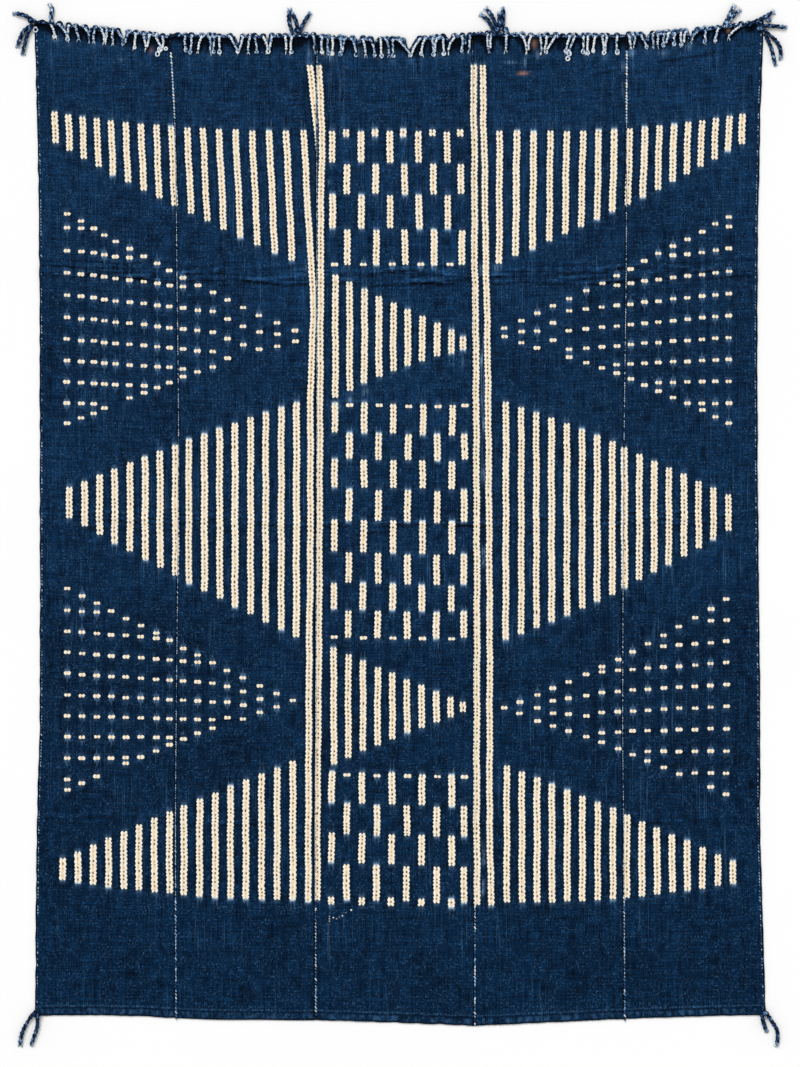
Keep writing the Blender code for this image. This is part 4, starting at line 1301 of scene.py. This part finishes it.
def stitchTree():
    tree = bpy.data.node_groups.new("thread_stitches", "GeometryNodeTree")
    face = tree.interface
    face.new_socket("Geometry", in_out="INPUT", socket_type="NodeSocketGeometry")
    names = ("Pitch", "Stitch Length", "Thread Radius", "Rise", "Lean", "Unevenness", "Pale")
    for name in names:
        face.new_socket(name, in_out="INPUT", socket_type="NodeSocketFloat")
    face.new_socket("Seed", in_out="INPUT", socket_type="NodeSocketInt")
    face.new_socket("Thread", in_out="INPUT", socket_type="NodeSocketMaterial")
    face.new_socket("Geometry", in_out="OUTPUT", socket_type="NodeSocketGeometry")

    def add(kind, **settings):
        node = tree.nodes.new(kind)
        for key, value in settings.items():
            setattr(node, key, value)
        return node

    def join(source, target):
        tree.links.new(source, target)

    given = add("NodeGroupInput").outputs
    toCurve = add("GeometryNodeMeshToCurve")
    join(given["Geometry"], toCurve.inputs[0])
    even = add("GeometryNodeResampleCurve", mode="LENGTH")
    join(toCurve.outputs[0], even.inputs["Curve"])
    join(given["Pitch"], even.inputs["Length"])

    def draw(low, high, offset):
        node = add("FunctionNodeRandomValue", data_type="FLOAT")
        node.inputs[2].default_value = low
        node.inputs[3].default_value = high
        seeded = add("FunctionNodeIntegerMath", operation="ADD")
        join(given["Seed"], seeded.inputs[0])
        seeded.inputs[1].default_value = offset
        join(seeded.outputs[0], node.inputs["Seed"])
        return node.outputs[1]

    def calc(operation, first, second):
        node = add("ShaderNodeMath", operation=operation)
        for value, socket in zip((first, second), node.inputs):
            if isinstance(value, bpy.types.NodeSocket):
                join(value, socket)
            else:
                socket.default_value = value
        return node.outputs[0]

    pale = add("GeometryNodeStoreNamedAttribute", data_type="FLOAT", domain="POINT")
    pale.inputs["Name"].default_value = "bleach"
    join(even.outputs[0], pale.inputs["Geometry"])
    join(calc("ADD", given["Pale"], draw(-0.28, 0.28, 1)), pale.inputs["Value"])

    # one stitch: a short arch of thread
    arch = add("GeometryNodeCurveQuadraticBezier")
    arch.inputs["Resolution"].default_value = 4
    half = calc("MULTIPLY", given["Stitch Length"], 0.5)
    for socket, sign, height in (("Start", -1.0, 0.0), ("Middle", 0.0, 2.0), ("End", 1.0, 0.0)):
        corner = add("ShaderNodeCombineXYZ")
        join(calc("MULTIPLY", half, sign), corner.inputs[0])
        join(calc("MULTIPLY", given["Rise"], height), corner.inputs[2])
        join(corner.outputs[0], arch.inputs[socket])
    profile = add("GeometryNodeCurvePrimitiveCircle", mode="RADIUS")
    profile.inputs["Resolution"].default_value = 5
    join(given["Thread Radius"], profile.inputs["Radius"])
    body = add("GeometryNodeCurveToMesh")
    join(arch.outputs[0], body.inputs["Curve"])
    join(profile.outputs[0], body.inputs["Profile Curve"])
    body.inputs["Fill Caps"].default_value = True
    smoothed = add("GeometryNodeSetShadeSmooth")
    join(body.outputs[0], smoothed.inputs[0])

    # turned along the line, with a lean of its own
    tangent = add("GeometryNodeInputTangent")
    parts = add("ShaderNodeSeparateXYZ")
    join(tangent.outputs[0], parts.inputs[0])
    angle = calc("ARCTAN2", parts.outputs[1], parts.outputs[0])
    lean = calc("ADD", given["Lean"], calc("MULTIPLY", draw(-0.5, 0.5, 2), given["Unevenness"]))
    turn = add("ShaderNodeCombineXYZ")
    join(calc("ADD", angle, lean), turn.inputs[2])
    rotation = add("FunctionNodeEulerToRotation")
    join(turn.outputs[0], rotation.inputs[0])
    place = add("GeometryNodeInstanceOnPoints")
    join(pale.outputs[0], place.inputs["Points"])
    join(smoothed.outputs[0], place.inputs["Instance"])
    join(rotation.outputs[0], place.inputs["Rotation"])
    scale = calc("ADD", 1.0, calc("MULTIPLY", draw(-0.3, 0.3, 3), given["Unevenness"]))
    join(scale, place.inputs["Scale"])
    real = add("GeometryNodeRealizeInstances")
    join(place.outputs[0], real.inputs[0])
    painted = add("GeometryNodeSetMaterial")
    join(real.outputs[0], painted.inputs["Geometry"])
    join(given["Thread"], painted.inputs["Material"])
    join(painted.outputs[0], add("NodeGroupOutput").inputs[0])
    return tree


def sewLine(name, points, tree, sizes, material):
    # points in millimetres along the sewing; sizes by the tree's input names
    mesh = bpy.data.meshes.new(name)
    edges = [(k, k + 1) for k in range(len(points) - 1)]
    mesh.from_pydata([(x * mm, y * mm, z * mm) for x, y, z in points], edges, [])
    source = bpy.data.objects.new(name + "_line", mesh)
    bpy.context.scene.collection.objects.link(source)
    modifier = source.modifiers.new("stitches", "NODES")
    modifier.node_group = tree
    for item in tree.interface.items_tree:
        if item.in_out == "INPUT" and item.name in sizes:
            modifier[item.identifier] = sizes[item.name]
        if item.in_out == "INPUT" and item.name == "Thread":
            modifier[item.identifier] = material
    bpy.context.view_layer.update()
    evaluated = source.evaluated_get(bpy.context.evaluated_depsgraph_get())
    sewn = bpy.data.meshes.new_from_object(evaluated, preserve_all_data_layers=True,
                                           depsgraph=bpy.context.evaluated_depsgraph_get())
    sewn.name = name
    bpy.data.objects.remove(source, do_unlink=True)
    obj = bpy.data.objects.new(name, sewn)
    bpy.context.scene.collection.objects.link(obj)
    return obj


sewing = {
    "bright": {"Pitch": 0.0046, "Stitch Length": 0.0024, "Thread Radius": 0.00135, "Rise": 0.0009,
               "Lean": 0.3, "Unevenness": 0.6, "Pale": 0.82},
    "worn": {"Pitch": 0.0052, "Stitch Length": 0.0034, "Thread Radius": 0.0010, "Rise": 0.0009,
             "Lean": 0.2, "Unevenness": 0.9, "Pale": 0.58},
    "faint": {"Pitch": 0.0038, "Stitch Length": 0.0024, "Thread Radius": 0.00062, "Rise": 0.0008,
              "Lean": 0.2, "Unevenness": 0.7, "Pale": 0.56},
    "selvedge": {"Pitch": 0.0046, "Stitch Length": 0.0024, "Thread Radius": 0.00066, "Rise": 0.0008,
                 "Lean": 0.25, "Unevenness": 0.7, "Pale": 0.40},
}
# each seam's thread, from the head down: how far it lies to the right of the seam, its kinds and their ends
seamSewing = {
    "seam1": (0.4, (("bright", 606.0), ("faint", -560.0), ("worn", -738.0))),
    "seam2": (1.4, (("faint", -566.0), ("worn", -740.0))),
    "seam3": (0.0, (("faint", 690.0),)),
    "seam4": (0.4, (("bright", 604.0), ("faint", -560.0), ("worn", -740.0))),
}
seamFoot = {"seam3": (0.4, -572.0, -749.0)}      # the third seam's thread shows again below its line
# how high the thread lies, where it starts below the head and how far in from the outer selvedges
sewnAt = {"high": 2.0, "selvedgeHigh": 1.9, "below": 27.0, "selvedgeBelow": 22.0, "inset": 3.4, "step": 8.0}
threadTree = stitchTree()


def sewingPoints(name, top, bottom, inset, height):
    heights = np.arange(top, bottom, -sewnAt["step"])
    across = lineAt(name, heights) + inset
    lift = foldLift(across, heights)
    return [(float(x), float(y), float(height + z)) for x, y, z in zip(across, heights, lift)]


threadPieces = []
for k, (name, (aside, parts)) in enumerate(seamSewing.items()):
    high = strips[k]["head"][1] - sewnAt["below"]
    for j, (kind, end) in enumerate(parts):
        sizes = dict(sewing[kind], Seed=20 + 5 * k + j)
        points = sewingPoints(name, high, end, aside, sewnAt["high"])
        threadPieces.append(sewLine(f"{name}_thread_{j + 1}", points, threadTree, sizes, threadMaterial))
        high = end
for name, (aside, high, end) in seamFoot.items():
    points = sewingPoints(name, high, end, aside, sewnAt["high"])
    threadPieces.append(sewLine(f"{name}_thread_foot", points, threadTree, dict(sewing["worn"], Seed=44),
                                threadMaterial))
for name, side, end, inwards in (("left", 0, 0, 1), ("right", 4, 1, -1)):
    top = strips[side]["head"][end] - sewnAt["selvedgeBelow"]
    bottom = strips[side]["foot"][end] + 3.0
    sizes = dict(sewing["selvedge"], Seed=40 + side)
    points = sewingPoints(name, top, bottom, inwards * sewnAt["inset"], sewnAt["selvedgeHigh"])
    threadPieces.append(sewLine(f"selvedge_thread_{name}", points, threadTree, sizes, threadMaterial))

# a small mend below the last block: knots of thread, as place and size, and the knots that end the seams
mendKnots = (
    (-105.8, -587.0, 1.1), (-105.8, -590.4, 1.2), (-105.8, -594.0, 1.1), (-99.9, -588.8, 1.6),
    (-95.1, -590.4, 1.1), (-86.3, -586.0, 1.7), (-73.1, -577.4, 2.3), (-81.5, -581.5, 0.8),
    (-91.0, -588.0, 0.8),
)
seamKnots = ((-335.6, -739.5, 2.4), (337.2, -742.0, 2.4))


def buildKnots(name, knots, bleach, rise):
    # 0.3 is the painted shade on the knots' sides
    tubes = Tubes(0.3)
    draw = random.Random(len(knots))
    for x, y, size in knots:
        turn = draw.uniform(0, math.pi)
        out = size * 0.5
        ends = []
        for k in (-1, 0, 1):
            ends.append((x + k * out * math.cos(turn), y + k * out * math.sin(turn), rise - 0.5 * k * k))
        tubes.tube(curved(ends, 5), [size * s for s in (0.35, 0.6, 0.68, 0.6, 0.35)], 7, bleach)
    return tubes.toObject(name, threadMaterial)


threadPieces.append(buildKnots("mend_knots", mendKnots, 0.85, cloth["thick"] + 0.6))
threadPieces.append(buildKnots("seam_end_knots", seamKnots, 0.2, cloth["hemThick"]))
print("sewing done:", sum(len(piece.data.polygons) for piece in threadPieces), "faces")


# floor, light and camera

stage = {
    "cameraHigh": 6.0,
    "cameraY": -0.01275,
    "viewLong": 1.6005,      # the photograph's long side on the cloth, in metres
    "sunPower": 1.66,
    "worldPower": 0.64,
}


def buildStage():
    mesh = bpy.data.meshes.new("floor")
    bm = bmesh.new()
    bmesh.ops.create_grid(bm, x_segments=8, y_segments=8, size=4.0)
    bm.to_mesh(mesh)
    bm.free()
    floor = bpy.data.objects.new("floor", mesh)
    floor.location.z = -0.0002
    bpy.context.scene.collection.objects.link(floor)
    material = bpy.data.materials.new("white_paper_floor")
    n = Nodes(material)
    place = n.tree.nodes.new("ShaderNodeTexCoord").outputs["Object"]
    n.put(n.mix(n.noise(place, scale=3.0), (0.97, 0.97, 0.97, 1.0), (0.99, 0.99, 0.99, 1.0)),
          n.shader.inputs["Base Color"])
    n.shader.inputs["Roughness"].default_value = 1.0
    n.shader.inputs["Specular IOR Level"].default_value = 0.0
    mesh.materials.append(material)
    floor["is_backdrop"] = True

    world = bpy.data.worlds.new("soft studio")
    world.use_nodes = True
    world.node_tree.nodes["Background"].inputs["Color"].default_value = (1.0, 1.0, 1.0, 1.0)
    world.node_tree.nodes["Background"].inputs["Strength"].default_value = stage["worldPower"]
    bpy.context.scene.world = world
    lamp = bpy.data.lights.new("window light", "SUN")
    lamp.energy = stage["sunPower"]
    lamp.angle = math.radians(24)
    sun = bpy.data.objects.new("window light", lamp)
    sun.rotation_euler = (math.radians(-40), math.radians(-22), 0.0)
    bpy.context.scene.collection.objects.link(sun)

    lens = bpy.data.cameras.new("camera")
    lens.sensor_width = 36.0
    lens.lens = 18.0 * stage["cameraHigh"] / (stage["viewLong"] / 2)
    camera = bpy.data.objects.new("camera", lens)
    camera.location = (0.0, stage["cameraY"], stage["cameraHigh"])
    bpy.context.scene.collection.objects.link(camera)
    bpy.context.scene.camera = camera
    bpy.context.scene.view_settings.view_transform = "Standard"


buildStage()
print("stage set")

# which solids each piece stands for: each piece is attached to the root and its solid is hidden

for number, piece in enumerate(stripPieces, start=1):
    fringePiece = fringePieces[number - 1]
    for own, node, slotName in ((piece, f"panel_{number}", "indigo_cloth"),
                                (fringePiece, f"heading_{number}", "fringe_cord")):
        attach(own, "root")
        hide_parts(node)
for name, piece in tasselPieces.items():
    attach(piece, "root")
    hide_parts(name)
for piece in threadPieces:
    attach(piece, "root")

low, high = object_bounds()
